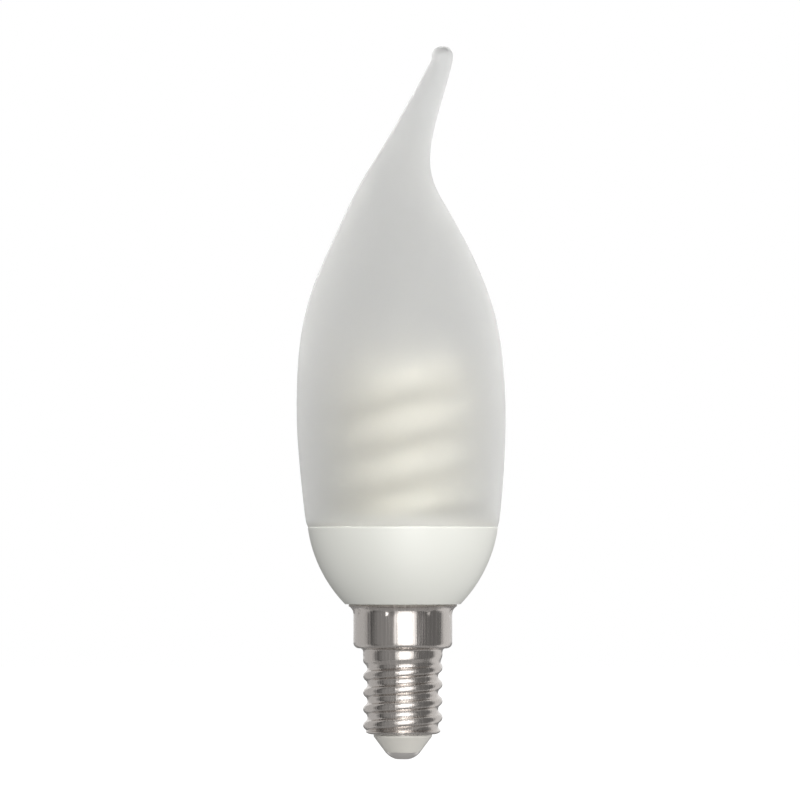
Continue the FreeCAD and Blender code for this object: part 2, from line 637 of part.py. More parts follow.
def glass_profile(body, name, corners, bends, kind="Revolution"):
    """Turn a section about the bulb's own axis, which leans as the glass does."""
    sketch = new_sketch(body, f"{name}_outline")
    lean = Rotation(Vector(0, 0, 1), number("glass_lean"))
    sketch.AttachmentOffset = Placement(Vector(0, number(SEAM), 0), lean)
    sketch.setExpression(".AttachmentOffset.Base.y", bound(SEAM))
    sketch.setExpression(".AttachmentOffset.Rotation.Angle", bound("glass_lean"))
    draw(sketch, corners, bends)
    return feature(body, kind, name, Profile=sketch, ReferenceAxis=(sketch, ["V_Axis"]), Angle=360)


def glass_envelope():
    """The blown bulb: a wide belly drawn out into a bent tail that ends in a melted bead."""
    body = new_body("glass_envelope")
    crown, throat = "(side_height + crown_height)", "(side_height + crown_height + throat_height)"
    outside = [
        ("0", "0 - glass_bevel_height"),
        ("rim_radius - glass_bevel", "0 - glass_bevel_height"),
        ("rim_radius", "0"),
        ("side_radius", "side_height"),
        ("crown_radius", crown),
        ("throat_radius", throat),
        ("0", throat),
    ]
    glass_profile(body, "blown_bulb", outside, {2: "side_bulge", 3: "crown_bulge"})
    throat_up, throat_aside = f"{throat} * cos(glass_lean)", f"(0 - {throat} * sin(glass_lean))"
    sections = [glass_section(body, "throat", throat_up, "throat_radius", throat_aside, "glass_lean", -1)]
    height, aside = throat, throat_aside
    for spot in ("bend", "neck", "tail", "tip"):
        height, aside = f"({height} + {spot}_height)", f"({aside} + {spot}_shift)"
        sections.append(glass_section(body, spot, height, f"{spot}_radius", aside, f"{spot}_tilt"))
    height, aside = f"({height} + shut_height)", f"({aside} + shut_shift)"
    sections.append(glass_section(body, "shut", height, "shut_radius", aside))
    feature(body, "AdditiveLoft", "drawn_tail", Profile=sections[0], Sections=sections[1:])
    bead = feature(body, "AdditiveSphere", "tip_bead")
    bead.setExpression("Radius", bound("bead_radius"))
    place(bead, f"{aside} + bead_shift", "0", f"{SEAM} + {height} + bead_height")
    slope = "throat_height / (crown_radius - throat_radius)"
    closing = f"({throat} - (glass_wall - throat_wall) * {slope})"
    closing_radius = "(throat_radius - throat_wall)"
    rise = f"({throat} + hollow_height - {closing})"
    inside = [
        ("0", "0 - glass_bevel_height * 2"),
        ("rim_radius - glass_wall", "0 - glass_bevel_height * 2"),
        ("rim_radius - glass_wall", "0"),
        ("side_radius - glass_wall", "side_height"),
        ("crown_radius - glass_wall", crown),
        (closing_radius, closing),
        ("0", f"{closing} + {rise}"),
    ]
    dome = f"({closing_radius} * {closing_radius} + {rise} * {rise}) / (2 * {rise})"
    bends = {2: "side_bulge - glass_wall", 3: "crown_bulge - glass_wall", 5: dome}
    glass_profile(body, "hollow", inside, bends, "Groove")
    corners = [
        ("0", f"{SEAM} - glass_bevel_height * 3"),
        ("rim_radius + glass_wall", f"{SEAM} - glass_bevel_height * 3"),
        ("rim_radius + glass_wall", f"{SEAM} + glass_bevel_height"),
        ("rim_radius + glass_bevel / 2", f"{SEAM} + glass_bevel_height"),
        ("rim_radius - glass_bevel", SEAM),
        ("0", SEAM),
    ]
    turned(body, "rim_trim", corners, kind="Groove")


def winding_section(body, name, height, turn, across=SPIRAL_RADIUS):
    """The tube's round section, in the plane through the axis at this turn."""
    sketch = new_sketch(body, name)
    sketch.AttachmentOffset = Placement(Vector(), Rotation(Vector(0, 1, 0), number(turn)))
    sketch.setExpression(".AttachmentOffset.Rotation.Angle", bound(turn))
    return draw_circle(sketch, across, height, "spiral_tube")


def add_axis(sketch, start, end):
    """A construction line to turn a section about, between two bound points."""
    spots = [Vector(number(across), number(up), 0) for across, up in (start, end)]
    line = sketch.addGeometry(Part.LineSegment(*spots), True)
    pin_down(sketch, line, 1, *start)
    pin_down(sketch, line, 2, *end)


def discharge_tube():
    """The fluorescent tube: two legs, two windings that climb together, and a bridge across their tops."""
    body = new_body("discharge_tube")
    body.AllowCompound = True
    bend_centre = f"({SPIRAL_RADIUS} - bridge_bend)"
    crossing = f"(asin(bridge_bend / {bend_centre}) / (1 deg))"
    for side, start in enumerate(("spiral_turn", "(spiral_turn + 180)")):
        low = winding_section(body, f"low_section_{side}", SPIRAL_LOW, start)
        axis = (low, ["V_Axis"])
        winding = feature(body, "AdditiveHelix", f"winding_{side}", Profile=low, ReferenceAxis=axis, Mode=0)
        winding.setExpression("Pitch", bound(SPIRAL_LEAD))
        winding.setExpression("Height", bound("spiral_height"))
        end = f"{start} + 360 * spiral_height / {SPIRAL_LEAD}"
        top = winding_section(body, f"top_section_{side}", SPIRAL_TOP, end)
        add_axis(top, (bend_centre, SPIRAL_LOW), (bend_centre, SPIRAL_TOP))
        bend = feature(body, "Revolution", f"bridge_bend_{side}", Profile=top, ReferenceAxis=(top, ["Axis0"]))
        bend.setExpression("Angle", bound(f"90 + {crossing}"))
        foot = winding_section(body, f"foot_section_{side}", SPIRAL_LOW, start)
        add_axis(foot, (f"{SPIRAL_RADIUS} / 2", LEG_TOP), (SPIRAL_RADIUS, LEG_TOP))
        feature(body, "Revolution", f"elbow_{side}", Profile=foot, ReferenceAxis=(foot, ["Axis0"]), Angle=90)
        leg = feature(body, "AdditiveCylinder", f"leg_{side}")
        leg.setExpression("Radius", bound("spiral_tube"))
        leg.setExpression("Height", bound("leg_length"))
        angle = f"({LEG_TURN} + {180 * side})"
        place(leg, f"{LEG_RADIUS} * cos({angle})", f"{LEG_RADIUS} * sin({angle})", LEG_FOOT)
    middle = winding_section(body, "bridge_section", SPIRAL_TOP, f"{end} + {crossing} + 90", "0")
    bridge = feature(body, "Pad", "bridge", Profile=middle, Midplane=True)
    half = f"sqrt({bend_centre} * {bend_centre} - bridge_bend * bridge_bend)"
    bridge.setExpression("Length", bound(f"2 * {half}"))


def board_pins(size, foot, height, name):
    """Four square posts, one on each side of each leg, on the board's edge."""
    posts = []
    for side in (0, 180):
        for sign in (-1, 1):
            angle = f"({LEG_TURN} + {side} + {sign} * {PIN_TURN})"
            post = make("Part::Box", f"{name}_{len(posts)}", Length=size, Width=size, Height=height)
            middle = f"{PIN_RADIUS} * cos({angle})", f"{PIN_RADIUS} * sin({angle})"
            place(post, f"{middle[0]} - {size} / 2", f"{middle[1]} - {size} / 2", foot)
            posts.append(post)
    return posts


def circuit_board():
    """The round board on the cup's ribs, with square holes for the wrap pins."""
    disc = make("Part::Cylinder", "board_disc", Radius=BOARD_RADIUS, Height="board_thick")
    place(disc, z=BOARD_UNDER)
    low = f"{BOARD_UNDER} - board_thick"
    holes = board_pins("(pin_size + 2 * pin_play)", low, "3 * board_thick", "pin_hole")
    named(cut("board", disc, *holes), "circuit_board")


def wrap_pins():
    """The posts that the tube's leads are wrapped on."""
    height = "(pin_height + board_thick + pin_size)"
    group("wrap_pins", board_pins("pin_size", f"{BOARD_UNDER} - pin_size", height, "pin"))


def filament_leads():
    """Four bare wires, two from each leg, that drop out of the glass and run to their pins."""
    wires = []
    foot = number(LEG_FOOT)
    drop = Vector(0, 0, number("tail_drop"))
    for side in (0, 180):
        leg_turn = number(LEG_TURN) + side
        leg = on_ring(number(LEG_RADIUS), leg_turn, foot)
        for sign in (-1, 1):
            pin = on_ring(number(PIN_RADIUS), leg_turn + sign * number(PIN_TURN), foot)
            way = (pin - leg).normalize()
            start = leg + way * number("tail_spread")
            end = pin - way * number("pin_size / sqrt(2) + pin_play")
            route = [start, start - drop, end - drop]
            wires.append(bent_wire(route, number("wire_radius"), number("wire_bend")))
    shaped("filament_leads", Part.makeCompound(wires))


def padded(body, name, corners, bends, foot, height):
    """A prism on an outline drawn in plan."""
    sketch = new_sketch(body, f"{name}_outline", "XY_Plane")
    sketch.setExpression(".AttachmentOffset.Base.z", bound(foot))
    draw(sketch, corners, bends)
    pad = feature(body, "Pad", name, Profile=sketch)
    pad.setExpression("Length", bound(height))
    return pad


def rounded_block(body, name, half_x, half_y, corner, foot, height):
    """A block with rounded upright edges, about the body's own axis."""
    near_x, near_y = f"({half_x} - {corner})", f"({half_y} - {corner})"
    corners = [
        (half_x, f"0 - {near_y}"),
        (half_x, near_y),
        (near_x, half_y),
        (f"0 - {near_x}", half_y),
        (f"0 - {half_x}", near_y),
        (f"0 - {half_x}", f"0 - {near_y}"),
        (f"0 - {near_x}", f"0 - {half_y}"),
        (near_x, f"0 - {half_y}"),
    ]
    return padded(body, name, corners, {1: corner, 3: corner, 5: corner, 7: corner}, foot, height)


def choke():
    """A ferrite core of two halves with three legs, and the winding round its middle leg."""
    foot = f"({BOARD_UNDER} - choke_height)"
    block = make("Part::Box", "core_block", Length="choke_thick", Width="choke_width", Height="choke_height")
    left = "(choke_shift - choke_thick / 2)"
    place(block, left, "0 - choke_width / 2", foot)
    gap = "(choke_width / 2 - choke_side - choke_leg / 2)"
    opening = "(choke_height - 2 * choke_yoke)"
    windows = []
    for side, near in enumerate(("choke_leg / 2", f"0 - choke_leg / 2 - {gap}")):
        window = make("Part::Box", f"core_window_{side}", Length="choke_thick * 2", Width=gap, Height=opening)
        windows.append(place(window, f"{left} - choke_thick / 2", near, f"{foot} + choke_yoke"))
    named(cut("core", block, *windows), "choke_core")
    body = new_body("winding_body")
    place(body, "choke_shift")
    half_x = "(choke_thick / 2 + winding_swell)"
    half_y = f"(choke_leg / 2 + {gap} - winding_play)"
    low = f"({foot} + choke_yoke + winding_play)"
    tall = f"({opening} - 2 * winding_play)"
    rounded_block(body, "winding_block", half_x, half_y, "winding_swell", low, tall)
    leg = make("Part::Box", "leg_room", Length="choke_thick + 2 * winding_play",
               Width="choke_leg + 2 * winding_play", Height="choke_height")
    place(leg, f"{left} - winding_play", "0 - choke_leg / 2 - winding_play", foot)
    named(cut("winding", body, leg), "choke_winding")


def storage_capacitor():
    """The can that hangs down into the neck, with a rolled groove near its leads."""
    body = new_body("storage_capacitor")
    place(body, "capacitor_shift")
    bead = "(capacitor_bead * 2)"
    corners = [
        ("0", CAN_FOOT),
        ("capacitor_radius - capacitor_edge", CAN_FOOT),
        ("capacitor_radius", f"{CAN_FOOT} + capacitor_edge"),
        ("capacitor_radius", f"{CAN_TOP} - 3 * {bead}"),
        ("capacitor_radius - capacitor_bead", f"{CAN_TOP} - 2 * {bead}"),
        ("capacitor_radius", f"{CAN_TOP} - {bead}"),
        ("capacitor_radius", f"{CAN_TOP} - {bead} / 2"),
        ("capacitor_radius - capacitor_edge", CAN_TOP),
        ("0", CAN_TOP),
    ]
    turned(body, "can", corners, {1: "capacitor_edge"})
    for side, across in enumerate(("capacitor_pins / 2", "0 - capacitor_pins / 2")):
        low = f"{CAN_TOP} - capacitor_edge"
        add_post(body, f"can_lead_{side}", "0", across, low, "capacitor_stand + capacitor_edge")


def add_post(body, name, x, y, foot, height):
    """A bare wire that stands straight up, as part of a body."""
    post = feature(body, "AdditiveCylinder", name)
    post.setExpression("Radius", bound("wire_radius"))
    post.setExpression("Height", bound(height))
    return place(post, x, y, foot)


def resonance_capacitor():
    """The dipped film capacitor that stands against the board."""
    body = new_body("resonance_capacitor")
    place(body, "film_shift")
    foot = f"{BOARD_UNDER} - film_height"
    half_x, half_y = "(film_thick / 2)", "(film_width / 2)"
    rounded_block(body, "film_block", half_x, half_y, "film_edge", foot, "film_height")


def drive_transformer():
    """A small ferrite ring with a few turns of wire, which switches the transistors."""
    top = f"({BOARD_UNDER} - turn_wire - 2 * turn_play)"
    foot = f"({top} - ring_height)"
    ring = new_body("drive_ring")
    place(ring, "ring_side", "ring_back")
    corners = [("ring_inner", foot), ("ring_outer", foot), ("ring_outer", top), ("ring_inner", top)]
    turned(ring, "ring", corners)
    loops = []
    width = "(ring_outer - ring_inner + 2 * turn_play)"
    for turn in range(int(number("turn_count"))):
        angle = f"(360 * {turn} / turn_count)"
        sizes = (
            ("outer", f"{width} + 2 * turn_wire", "turn_wire", "ring_height + 2 * turn_wire + 2 * turn_play"),
            ("inner", width, "3 * turn_wire", "ring_height + 2 * turn_play"),
        )
        boxes = []
        for kind, long, wide, tall in sizes:
            box = make("Part::Box", f"turn_{kind}_{turn}", Length=long, Width=wide, Height=tall)
            start = "(ring_inner - turn_play - turn_wire)" if kind == "outer" else "(ring_inner - turn_play)"
            low = f"{foot} - turn_play - turn_wire" if kind == "outer" else f"{foot} - turn_play"
            across = f"({wide}) / 2"
            place(box, f"ring_side + {start} * cos({angle}) + {across} * sin({angle})",
                  f"ring_back + {start} * sin({angle}) - {across} * cos({angle})", low, angle)
            boxes.append(box)
        loops.append(cut(f"turn_{turn}", *boxes))
    group("drive_windings", loops)


def switching_transistors():
    """Two half-round transistors, flat side to the choke, each on three leads."""
    cases = []
    flat_end = "sqrt(case_radius * case_radius - case_flat * case_flat)"
    top = f"({BOARD_UNDER} - case_stand)"
    for name in ("case_left", "case_right"):
        body = new_body(f"transistor_{name}")
        place(body, name, "0 - case_front")
        corners = [(flat_end, "case_flat"), (f"0 - {flat_end}", "case_flat"), ("0", "0 - case_radius")]
        bends = {1: "case_radius", 2: "case_radius"}
        padded(body, f"{name}_block", corners, bends, f"{top} - case_height", "case_height")
        for lead in (-1, 0, 1):
            add_post(body, f"{name}_lead_{lead + 1}", f"{lead} * case_pitch", "0", f"{top} - wire_radius",
                     "case_stand + wire_radius")
        cases.append(body)
    group("switching_transistors", cases)


def axial_part(name, drums, row):
    """A small body lying along X on the board, with a wire through it that is bent down at both ends."""
    height = f"({BOARD_TOP} + diode_stand + {drums[0][0]})"
    start = f"(0 - ({' + '.join(length for _, length in drums)}) / 2)"
    reach = number(f"diode_reach - {start}")
    pieces = []
    for radius, length in drums:
        drum = make("Part::Cylinder", f"{name}_drum_{len(pieces)}", Radius=radius, Height=length)
        drum.Placement = Placement(Vector(), Rotation(Vector(0, 1, 0), 90))
        for letter, formula in zip("xyz", (start, row, height)):
            drum.setExpression(f".Placement.Base.{letter}", bound(formula))
        pieces.append(drum)
        start = f"({start} + {length})"
    low, high, across = number(BOARD_TOP), number(height), number(row)
    bends = ((-reach, low), (-reach, high), (reach, high), (reach, low))
    route = [Vector(along, across, level) for along, level in bends]
    wire = shaped(f"{name}_wire", bent_wire(route, number("wire_radius"), number("wire_bend")))
    return join(f"{name}_joined", *pieces, wire)


def board_top_parts():
    """What stands on the board's upper side, between the tube's legs."""
    glass_body = [("diode_radius", "diode_length")]
    middle = "((diode_count - 1) / 2)"
    rows = [f"({row} - {middle}) * diode_space" for row in range(int(number("diode_count")))]
    diodes = [axial_part(f"diode_{spot}", glass_body, row) for spot, row in enumerate(rows)]
    group("bridge_diodes", diodes)
    caps_and_waist = [("resistor_radius", "resistor_cap"), ("resistor_waist", "resistor_middle"),
                      ("resistor_radius", "resistor_cap")]
    out = f"({middle} * diode_space + resistor_space)"
    rows = (f"0 - {out}", out)
    resistors = [axial_part(f"resistor_{spot}", caps_and_waist, row) for spot, row in enumerate(rows)]
    group("board_resistors", resistors)
    trigger = axial_part("trigger", [("trigger_radius", "diode_length")], f"({out} + trigger_space)")
    named(trigger, "trigger_diode")


def fusible_resistor():
    """The resistor in the cap that burns out first, with its wires up and down the axis."""
    body = new_body("fusible_resistor")
    corners = [
        ("0", "contact_dome + stem_length / 2"),
        ("wire_radius", "contact_dome + stem_length / 2"),
        ("wire_radius", FUSE_FOOT),
        ("fuse_radius", FUSE_FOOT),
        ("fuse_radius", f"{FUSE_FOOT} + fuse_length / 4"),
        ("fuse_waist", f"{FUSE_FOOT} + fuse_length / 3"),
        ("fuse_waist", f"{FUSE_TOP} - fuse_length / 3"),
        ("fuse_radius", f"{FUSE_TOP} - fuse_length / 4"),
        ("fuse_radius", FUSE_TOP),
        ("wire_radius", FUSE_TOP),
        ("wire_radius", FUSE_WIRE_TOP),
        ("0", FUSE_WIRE_TOP),
    ]
    turned(body, "fuse_profile", corners)


def supply_leads():
    """The two insulated leads: one from the fusible resistor, one from the shell's shoulder."""
    thick, bend = number("lead_radius"), number("lead_bend")
    board, beside = number(BOARD_UNDER), number(LEAD_CROSSING)
    aside = Vector(number("capacitor_shift"), -number("contact_lead_out"), 0)
    route = [Vector(0, 0, number(FUSE_WIRE_TOP)), Vector(0, 0, beside - number("contact_lead_low")),
             aside + Vector(0, 0, beside), aside + Vector(0, 0, board)]
    shaped("contact_lead", bent_wire(route, thick, bend))
    turn, out = number("shell_lead_turn"), number(f"{NECK_INNER} - lead_radius - lead_gap")
    weld = number(f"{SHOULDER_START} + shoulder_bend + sheet + lead_radius + cap_play")
    route = [on_ring(out, turn, board), on_ring(out, turn, weld),
             on_ring(number(f"{SKIRT_RADIUS} - skirt_bend + lead_radius / 4"), turn, weld)]
    shaped("shell_lead", bent_wire(route, thick, bend))


PIECES = [
    "centre_contact", "cap_insulator", "screw_shell", "ballast_housing", "tube_holder", "envelope_cement",
    "glass_envelope", "discharge_tube", "circuit_board", "wrap_pins", "filament_leads", "choke_core",
    "choke_winding", "storage_capacitor", "resonance_capacitor", "drive_ring", "drive_windings",
    "switching_transistors", "bridge_diodes", "board_resistors", "trigger_diode", "fusible_resistor",
    "contact_lead", "shell_lead",
]


def check_and_write():
    """Stop on any failed object, then write each named piece to its own file."""
    document.recompute()
    failed = [thing.Name for thing in document.Objects if {"Invalid", "Error"} & set(thing.State)]
    if failed:
        raise RuntimeError(f"failed objects: {failed}")
    os.makedirs("parts", exist_ok=True)
    for label in PIECES:
        shape = document.getObjectsByLabel(label)[0].Shape
        if shape.isNull() or not shape.isValid():
            raise RuntimeError(f"{label} has no valid shape")
        shape.exportStep(f"parts/{label}.step")
        print(f"{label}: {len(shape.Solids)} solids, {shape.Volume:.1f} mm3")


for build_piece in (centre_contact, cap_insulator, screw_shell, ballast_housing, tube_holder, envelope_cement,
                    glass_envelope, discharge_tube, circuit_board, wrap_pins, filament_leads, choke,
                    storage_capacitor, resonance_capacitor, drive_transformer, switching_transistors,
                    board_top_parts, fusible_resistor, supply_leads):
    build_piece()
check_and_write()
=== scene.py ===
# %% [markdown]
# # A candle lamp with a bent tip
#
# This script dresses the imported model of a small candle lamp: a frosted glass bulb with a bent,
# flame-like tip over a spiral fluorescent tube, a white plastic cup, and a nickelled screw cap.
# The model is the frame. It says where everything sits, in metres, with Z up along the lamp's
# axis, the tip bent towards +X and the camera on the side of -Y. What has to look smooth and
# shiny is made again here, in the same place, and the rest of the model gets better materials.

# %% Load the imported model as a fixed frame
import json
import math

import bmesh
import bpy
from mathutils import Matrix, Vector


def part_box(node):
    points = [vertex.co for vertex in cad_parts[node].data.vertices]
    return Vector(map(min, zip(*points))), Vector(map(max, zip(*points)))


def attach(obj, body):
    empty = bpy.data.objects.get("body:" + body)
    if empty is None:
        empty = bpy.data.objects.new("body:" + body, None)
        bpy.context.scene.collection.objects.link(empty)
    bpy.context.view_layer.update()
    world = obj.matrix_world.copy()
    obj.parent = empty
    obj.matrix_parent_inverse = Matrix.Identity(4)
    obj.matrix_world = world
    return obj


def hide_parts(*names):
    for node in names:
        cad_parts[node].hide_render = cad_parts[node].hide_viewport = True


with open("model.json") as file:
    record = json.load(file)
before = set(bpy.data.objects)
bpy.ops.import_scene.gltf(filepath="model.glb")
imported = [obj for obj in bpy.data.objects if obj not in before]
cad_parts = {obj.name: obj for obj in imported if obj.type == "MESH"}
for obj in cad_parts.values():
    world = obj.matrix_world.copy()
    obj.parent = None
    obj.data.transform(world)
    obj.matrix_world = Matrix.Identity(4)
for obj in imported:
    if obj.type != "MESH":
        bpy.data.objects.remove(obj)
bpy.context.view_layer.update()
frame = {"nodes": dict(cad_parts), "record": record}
MM = 0.001
scene = bpy.context.scene
print("nodes in the frame:", len(frame["nodes"]))

# %% [markdown]
# ## Where the pieces sit
#
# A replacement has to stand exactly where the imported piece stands, so its heights are read from
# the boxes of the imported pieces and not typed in. Only sizes that no box shows, such as a bend's
# radius, are named here.

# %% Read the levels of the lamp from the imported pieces
cup_low, cup_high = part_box("ballast_housing")
shell_low, shell_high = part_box("screw_shell")
cone_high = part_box("cap_insulator")[1]
contact_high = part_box("centre_contact")[1]

seam = cup_high.z
shell_edge = shell_low.z
print(f"seam at {seam / MM:.2f} mm, shell from {shell_edge / MM:.2f} to {shell_high.z / MM:.2f} mm")

# %% [markdown]
# ## The camera
#
# The photograph was taken with a long lens, nearly level, so the lamp's sides stay parallel. A
# real lens of that kind stands about 80 cm away from so small a thing. The camera looks up by
# about two degrees, because it stands at the height of the cup but frames the whole lamp. Its
# focal length isn't guessed: it follows from how many pixels a metre takes up in the picture.

# %% Set up the camera
IMAGE_SIDE = 800
PIXELS_PER_METRE = 5830
CAMERA_DISTANCE = 0.8
CAMERA_HEIGHT = 0.033
FRAME_CENTRE = Vector((-0.00048, 0, 0.0615))
SENSOR = 36.0
NEAREST = 0.01

lens = bpy.data.cameras.new("long_lens")
lens.sensor_width = SENSOR
lens.lens = PIXELS_PER_METRE * CAMERA_DISTANCE * SENSOR / IMAGE_SIDE
lens.clip_start = NEAREST
camera = bpy.data.objects.new("camera", lens)
camera.location = (FRAME_CENTRE.x, -CAMERA_DISTANCE, CAMERA_HEIGHT)
camera.rotation_euler = (FRAME_CENTRE - camera.location).to_track_quat("-Z", "Y").to_euler()
scene.collection.objects.link(camera)
scene.camera = camera
print(f"lens of {lens.lens:.0f} mm at {CAMERA_DISTANCE} m")

# %% [markdown]
# ## Helpers for nodes
#
# Both the shapes that follow a rule and the finishes are built from nodes. A few short helpers
# keep that readable. One plugs a value or another node's output into a socket, one adds a node,
# three do arithmetic, and one starts a group with named inputs and outputs.


# %% Helpers that add nodes
def plug(tree, socket, value):
    """Give a socket a plain value, or link it to another node's output."""
    if isinstance(value, bpy.types.NodeSocket):
        tree.links.new(value, socket)
    else:
        socket.default_value = value


def add(tree, kind, inputs=None, **settings):
    """Add a node, set its own settings, and plug its inputs by name or number."""
    node = tree.nodes.new(kind)
    for key, setting in settings.items():
        setattr(node, key, setting)
    for key, value in (inputs or {}).items():
        plug(tree, node.inputs[key], value)
    return node


# %% Helpers that do arithmetic with nodes
def maths(tree, operation, *values):
    """One step of arithmetic on numbers or outputs."""
    node = add(tree, "ShaderNodeMath", dict(enumerate(values)), operation=operation)
    return node.outputs[0]


def slant(tree, first, second):
    """The long side of a right triangle with these two short sides."""
    squares = [maths(tree, "POWER", side, 2.0) for side in (first, second)]
    return maths(tree, "SQRT", maths(tree, "ADD", *squares))


def smooth_step(tree, value, start, end, low=0.0, high=1.0):
    """Go from low to high as the value goes from start to end, with soft ends."""
    inputs = {"Value": value, "From Min": start, "From Max": end, "To Min": low, "To Max": high}
    node = add(tree, "ShaderNodeMapRange", inputs, interpolation_type="SMOOTHSTEP")
    return node.outputs["Result"]


# %% A helper that starts a group
FLOAT, INTEGER = "NodeSocketFloat", "NodeSocketInt"
GEOMETRY, MATERIAL = "NodeSocketGeometry", "NodeSocketMaterial"


def start_group(name, kind, inputs, outputs):
    """Start a node group whose inputs are {name: (socket type, default)}, its outputs {name: type}."""
    tree = bpy.data.node_groups.new(name, kind)
    for label, (socket_type, default) in inputs.items():
        socket = tree.interface.new_socket(label, in_out="INPUT", socket_type=socket_type)
        if default is not None:
            socket.default_value = default
    for label, socket_type in outputs.items():
        tree.interface.new_socket(label, in_out="OUTPUT", socket_type=socket_type)
    return tree, tree.nodes.new("NodeGroupInput"), tree.nodes.new("NodeGroupOutput")


# %% [markdown]
# ## Fine mottle, shared by several finishes
#
# Nothing that has been moulded, blown or plated is perfectly even. That could be painted on each
# piece, but noise needs no unwrapping and has one true scale on all of them. So one group makes a
# soft cloudy mask and a fine grain out of two noises on the object's own coordinates. Each finish
# that uses it sets its own scale, so plastic gets a faint orange peel and the glass gets the
# slight clouds of its frosting.
#
# A second group is for sheet that was drawn through a die, which leaves fine straight lines along
# the axis. There a place counts only by its turn about the axis and its height: it is moved to a
# ring of the skirt's radius first, and the height is squeezed, so each spot of noise becomes a
# line.

# %% Build the mottle groups
DRAWN_RADIUS = 8.5 * MM


def on_ring(tree, spot):
    """Move a place, at its own height, to a ring of DRAWN_RADIUS about Z."""
    parts = add(tree, "ShaderNodeSeparateXYZ", {0: spot.outputs[0]}).outputs
    aside = add(tree, "ShaderNodeCombineXYZ", {"X": parts["X"], "Y": parts["Y"]})
    unit = add(tree, "ShaderNodeVectorMath", {0: aside.outputs[0]}, operation="NORMALIZE")
    ring = add(tree, "ShaderNodeVectorMath", {0: unit.outputs[0], "Scale": DRAWN_RADIUS},
               operation="SCALE")
    up = add(tree, "ShaderNodeCombineXYZ", {"Z": parts["Z"]})
    return add(tree, "ShaderNodeVectorMath", {0: ring.outputs[0], 1: up.outputs[0]},
               operation="ADD")


def mottle_group(name, drawn=False):
    """Two noises on Object coordinates, which are moved to a ring first where drawn."""
    tree, given, result = start_group(
        name, "ShaderNodeTree",
        {"Cloud Scale": (FLOAT, 60.0), "Grain Scale": (FLOAT, 900.0), "Stretch": (FLOAT, 1.0)},
        {"Cloud": FLOAT, "Grain": FLOAT})
    place = add(tree, "ShaderNodeTexCoord")
    stretch = add(tree, "ShaderNodeCombineXYZ", {"X": 1.0, "Y": 1.0, "Z": given.outputs["Stretch"]})
    spot = add(tree, "ShaderNodeVectorMath", {0: place.outputs["Object"], 1: stretch.outputs[0]},
               operation="MULTIPLY")
    if drawn:
        spot = on_ring(tree, spot)
    for label in ("Cloud", "Grain"):
        noise = add(tree, "ShaderNodeTexNoise", {
            "Vector": spot.outputs[0], "Scale": given.outputs[f"{label} Scale"], "Detail": 3.0,
            "Roughness": 0.55})
        plug(tree, result.inputs[label], noise.outputs["Fac"])
    return tree


MOTTLE = mottle_group("fine_mottle")
DRAWN_LINES = mottle_group("drawn_lines", drawn=True)
print("groups made:", MOTTLE.name, "and", DRAWN_LINES.name)

# %% [markdown]
# ## One recipe for all the finishes
#
# Each surface here is one Principled shader with a little life in it. The clouds darken its
# colour and change its roughness, and the grain raises a faint relief, so a highlight breaks up
# as it does on the real thing. Each finish could have a tree of its own, but they differ only in
# numbers, so one function builds them all. The clouds lie mostly between 0.3 and 0.7, and over
# that span the roughness goes from its lowest to its highest.

# %% A material with mottle in its colour, roughness and relief
CLOUD_LOW, CLOUD_HIGH = 0.3, 0.7


def add_mottle(tree, cloud=60.0, grain=900.0, stretch=1.0, group=MOTTLE):
    """Place one of the two groups in a material."""
    node = add(tree, "ShaderNodeGroup", node_tree=group)
    for label, value in (("Cloud Scale", cloud), ("Grain Scale", grain), ("Stretch", stretch)):
        node.inputs[label].default_value = value
    return node


def finish(name, colour, roughness, tint=0.04, uneven=0.08, relief=0.15, depth=0.00002,
           mottle=None, **sockets):
    """A Principled material that mottle darkens by tint, roughens by uneven and dents by depth."""
    material = bpy.data.materials.new(name)
    material.use_nodes = True
    tree = material.node_tree
    shader = tree.nodes["Principled BSDF"]
    pattern = add_mottle(tree, **(mottle or {}))
    cloud, grain = pattern.outputs["Cloud"], pattern.outputs["Grain"]
    deep = tuple(channel * (1 - tint) for channel in colour)
    blend = add(tree, "ShaderNodeMix", {"Factor": cloud}, data_type="RGBA")
    blend.inputs["A"].default_value = (*deep, 1)
    blend.inputs["B"].default_value = (*colour, 1)
    plug(tree, shader.inputs["Base Color"], blend.outputs["Result"])
    smoothest, roughest = roughness - uneven / 2, roughness + uneven / 2
    rough = smooth_step(tree, cloud, CLOUD_LOW, CLOUD_HIGH, smoothest, roughest)
    plug(tree, shader.inputs["Roughness"], rough)
    bump = add(tree, "ShaderNodeBump", {"Strength": relief, "Distance": depth, "Height": grain})
    plug(tree, shader.inputs["Normal"], bump.outputs["Normal"])
    for label, value in sockets.items():
        shader.inputs[label.replace("_", " ")].default_value = value
    return material


# %% [markdown]
# ## The frosted glass
#
# The bulb is clear glass whose surface is etched, so it passes light but scatters it. The tube
# inside shows only as a soft bright shape. One Principled shader does all of that: most of it is
# very rough glass, a little is diffuse, as the etched skin looks from outside, and a sheen lights
# the limb, where one looks along the skin. Lamps should reach the tube through the bulb, and a
# path tracer can't aim at a lamp through rough glass, so shadow rays meet a Transparent shader
# instead. Its colour says how much light each skin of the wall lets in.

# %% Make the frosted glass
GLASS_COLOUR = (0.722, 0.724, 0.718)
GLASS_SHADE = (0.80, 0.795, 0.78, 1)


